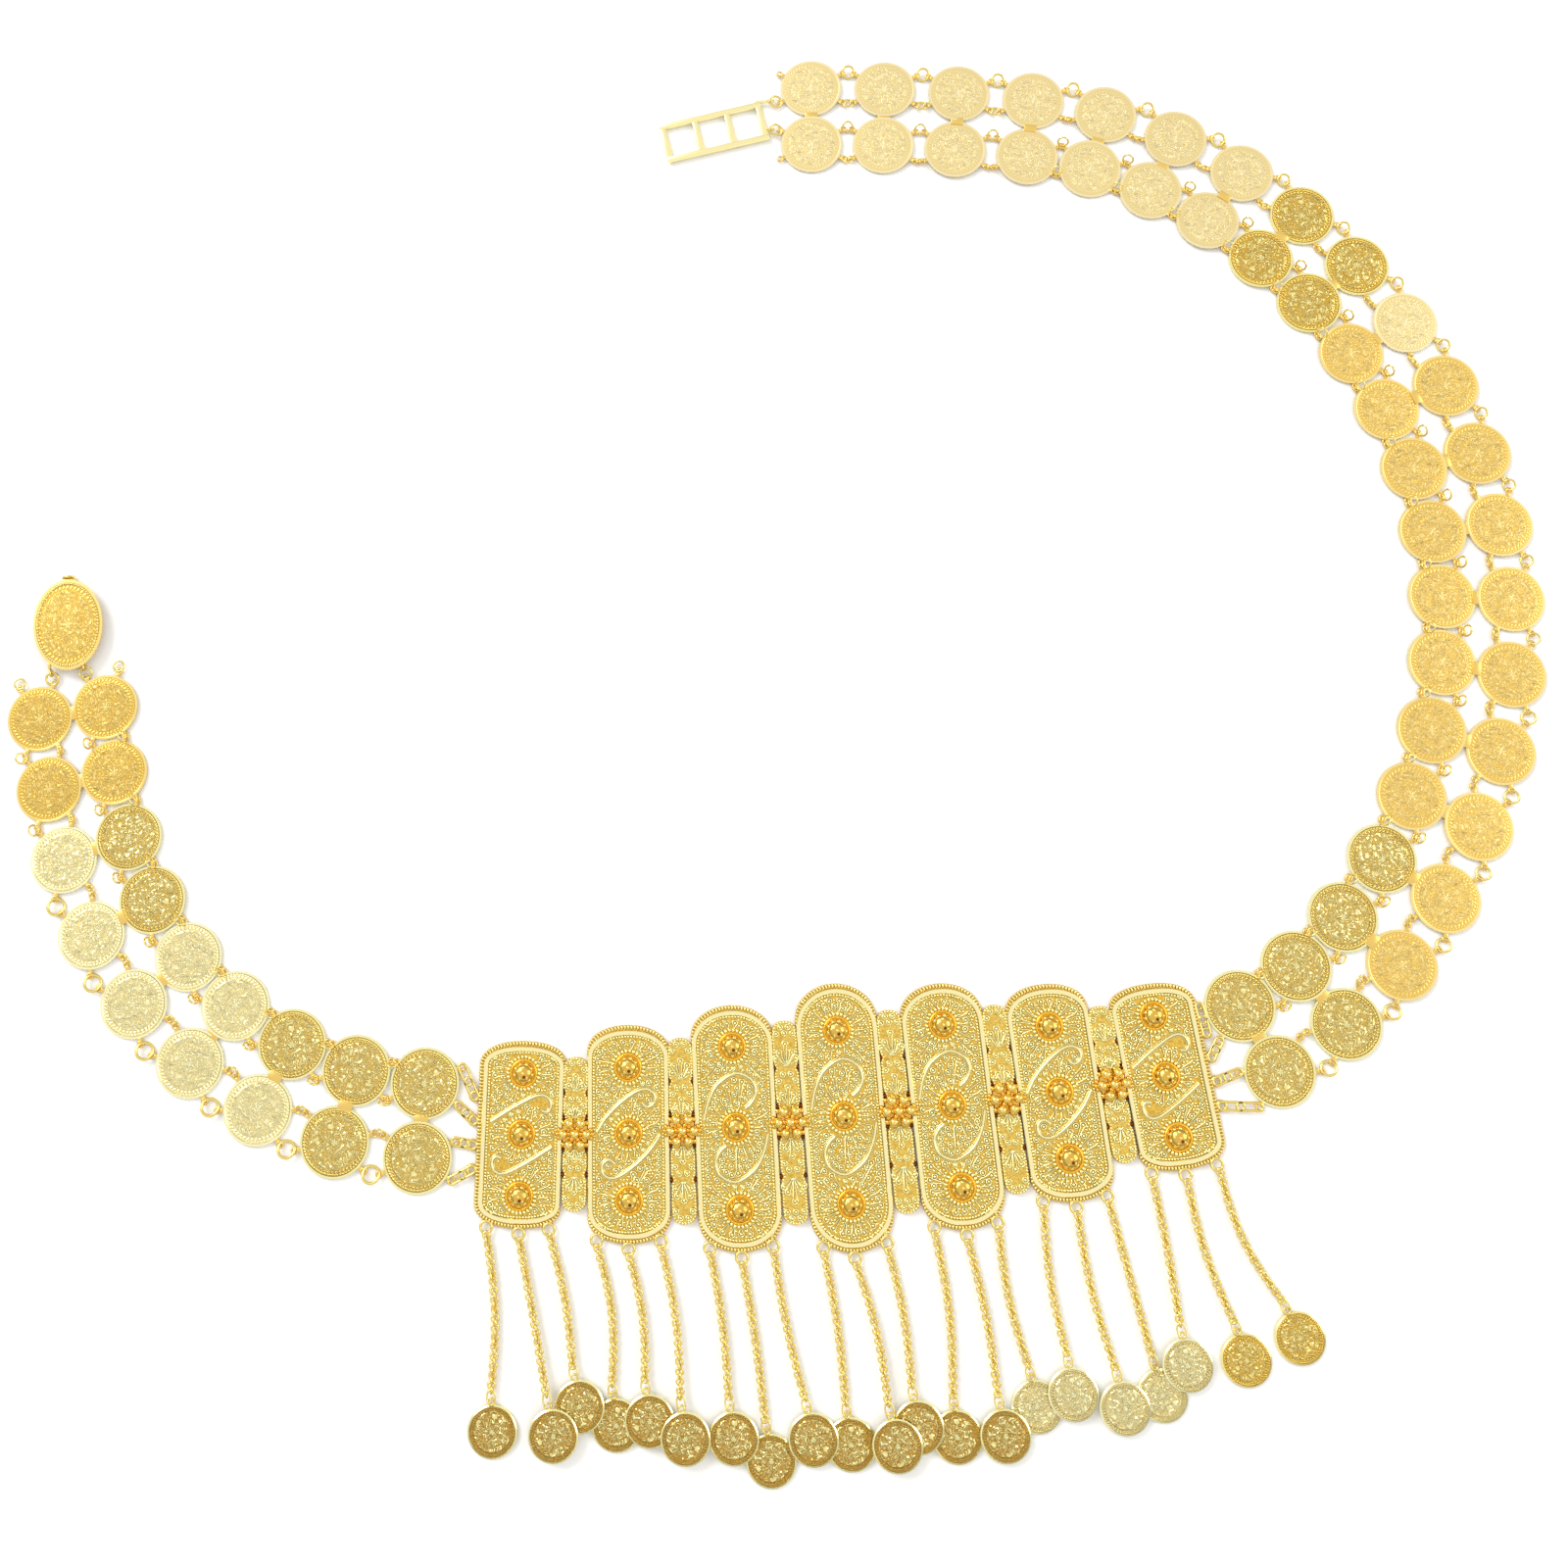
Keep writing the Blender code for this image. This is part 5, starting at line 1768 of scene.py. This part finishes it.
@dataclass
class Medallion:
    """An oval struck plate with a hook under it, on two lugs.

    Attributes:
        centre: Its middle on the page.
        turn: Its turn on the page, in degrees.
        half: Half its width and half its height.
        low: Height of its underside over the surface.
        beads: Beads of its border.
        bead_in: Distance of the beads from its edge.
    """

    centre: tuple[float, float] = (-231.3, 51.2)
    turn: float = 8.0
    half: tuple[float, float] = (11.3, 15.1)
    low: float = 3.05
    beads: int = 84
    bead_in: float = 1.45

    def build(self, library: Library, place: tuple) -> bpy.types.Object:
        """Builds the piece.

        Args:
            library: The templates.
            place: Place of the coin pair that carries it.

        Returns:
            The object.
        """
        piece = Piece("medallion", "hook_medallion", "medallion", "pale gold plate")
        own = frame_at(*self.centre, self.turn)
        a, b = self.half
        stretch = Matrix.Diagonal((a / COIN_RADIUS, b / COIN_RADIUS, 1.2, 1.0))
        piece.add(library.coin, own @ spot(0.0, 0.0, self.low) @ stretch, Gold.COIN_BRASS)
        for k in range(self.beads):
            t = 2 * math.pi * k / self.beads
            x, y = (a - self.bead_in) * math.cos(t), (b - self.bead_in) * math.sin(t)
            piece.add(library.bead, own @ spot(x, y, self.low + 0.95, 0.0, 0.34), Gold.BAND)
        piece.add(bar(16.0, 4.2, 0.9, 0.2), own @ spot(0.0, b - 6.2, 0.3, 90.0), Gold.RING)
        piece.add(bar(4.0, 1.2, 2.6, 0.2), own @ spot(0.0, b - 12.6, 0.5), Gold.RING)
        lip = wire([(-1.7, b + 1.1, 0.9), (-1.5, b + 1.5, 1.5), (0.0, b + 1.6, 1.9), (1.6, b + 1.4, 1.5),
                    (1.8, b + 0.9, 0.9)], 0.4)
        piece.add(lip, own, Gold.RING)
        ends, outward = hinge(place, 1)
        turn = math.degrees(math.atan2(outward.y, outward.x))
        for point in ends:
            centre = Vector((*point, HINGE_HEIGHT))
            piece.add(library.lug_ring, basis(outward, Vector((0, 0, 1)), centre), Gold.RING)
            middle = centre + outward * 2.3
            piece.add(bar(2.4, 0.9, 0.8, 0.15), spot(middle.x, middle.y, 2.25, turn), Gold.RING)
        return piece.build()


class Studio:
    """Floor, lights, backdrop light and camera."""

    def build(self) -> None:
        """Builds them all."""
        self.add_floor()
        self.add_world()
        self.add_lights()
        self.add_camera()

    def add_floor(self) -> None:
        """A plain pale floor."""
        floor = active_after(bpy.ops.mesh.primitive_plane_add, size=5.0, location=(0.0, 0.0, -0.0002))
        floor.name = "floor"
        paint = bpy.data.materials.new("matt white paper")
        paint.use_nodes = True
        shader = paint.node_tree.nodes["Principled BSDF"]
        shader.inputs["Base Color"].default_value = to_linear("#FBFBFA")
        shader.inputs["Roughness"].default_value = 0.9
        shader.inputs["Specular IOR Level"].default_value = 0.1
        floor.data.materials.append(paint)

    def add_world(self) -> None:
        """Light from all round, brightest from above."""
        world = bpy.data.worlds.new("soft studio")
        bpy.context.scene.world = world
        world.use_nodes = True
        graph = Graph(world.node_tree)
        axes = graph.add("SeparateXYZ")
        graph.put(axes.inputs[0], graph.add("TexCoord").outputs["Generated"])
        ramp = graph.add("ValToRGB")
        graph.put(ramp.inputs["Fac"], axes.outputs["Z"])
        background = world.node_tree.nodes["Background"]
        graph.put(background.inputs["Color"], ramp.outputs["Color"])
        graph.put(background.inputs["Strength"], 1.0)
        elements = ramp.color_ramp.elements
        elements[0].position, elements[1].position = SKY_STOPS[0][0], SKY_STOPS[-1][0]
        for position, _ in SKY_STOPS[1:-1]:
            elements.new(position)
        for element, (_, value) in zip(elements, SKY_STOPS):
            element.color = (*(value * tint for tint in SKY_TINT), 1.0)

    def add_lights(self) -> None:
        """Two soft suns low on either side: they whiten the floor and pick out the relief."""
        for name, place, spread, power in LIGHTS:
            lamp = bpy.data.lights.new(name, "SUN")
            lamp.angle = math.radians(spread)
            lamp.energy = power
            holder = bpy.data.objects.new(name, lamp)
            holder.location = place
            holder.rotation_euler = (-Vector(place)).to_track_quat("-Z", "Y").to_euler()
            bpy.context.scene.collection.objects.link(holder)

    def add_camera(self) -> None:
        """The camera over the chain, tipped as in the photo."""
        data = bpy.data.cameras.new("camera")
        data.lens = 36.0
        data.sensor_width = 36.0
        data.shift_x, data.shift_y = CAMERA_SHIFT
        data.clip_start, data.clip_end = 0.01, 20.0
        camera = bpy.data.objects.new("camera", data)
        tip = Matrix.Rotation(math.radians(CAMERA_TILT), 3, Vector(CAMERA_AXIS))
        flip = Matrix.Diagonal((1.0, -1.0, -1.0))
        turn = (flip @ tip @ flip).to_4x4()
        across, up = CAMERA_PAGE[0] - PAGE_ORIGIN[0], CAMERA_PAGE[1] - PAGE_ORIGIN[1]
        place = Vector((across, up, CAMERA_HEIGHT)) * MM
        camera.matrix_world = Matrix.Translation(place) @ turn
        bpy.context.scene.collection.objects.link(camera)
        bpy.context.scene.camera = camera
        bpy.context.scene.view_settings.view_transform = "Standard"


def build_band(band: str, start: tuple, steps: tuple, library: Library) -> list[tuple[float, float, float]]:
    """Builds the coin pairs of a band.

    Args:
        band: Its name.
        start: Its first pair's place.
        steps: Its gaps.
        library: The templates.

    Returns:
        The places of its pairs.
    """
    places = band_places(start, steps)
    outer, inner = BAND_TONES[band]
    for i, place in enumerate(places):
        ahead = places[i + 1] if i + 1 < len(places) else None
        CoinPair(band, i + 1, place, ahead, (TONES[outer[i]], TONES[inner[i]])).build(library)
    return places


def main() -> None:
    """Builds the chain and the studio."""
    logging.basicConfig(level=logging.INFO, format="%(message)s")
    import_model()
    library = Library()
    right = build_band("right", RIGHT_START, RIGHT_STEPS, library)
    left = build_band("left", LEFT_START, LEFT_STEPS, library)
    for i, size in enumerate(PLAQUE_SIZES):
        Plaque(size, free_side(i + 1)).build(library)
        PendantSet(i + 1).build(library)
    for i, length in enumerate(SPACER_LENGTHS):
        Spacer(i + 1, length).build(library)
    Ladder().build(library, right[0])
    Medallion().build(library, left[-1])
    Studio().build()


if __name__ == "__main__":
    main()
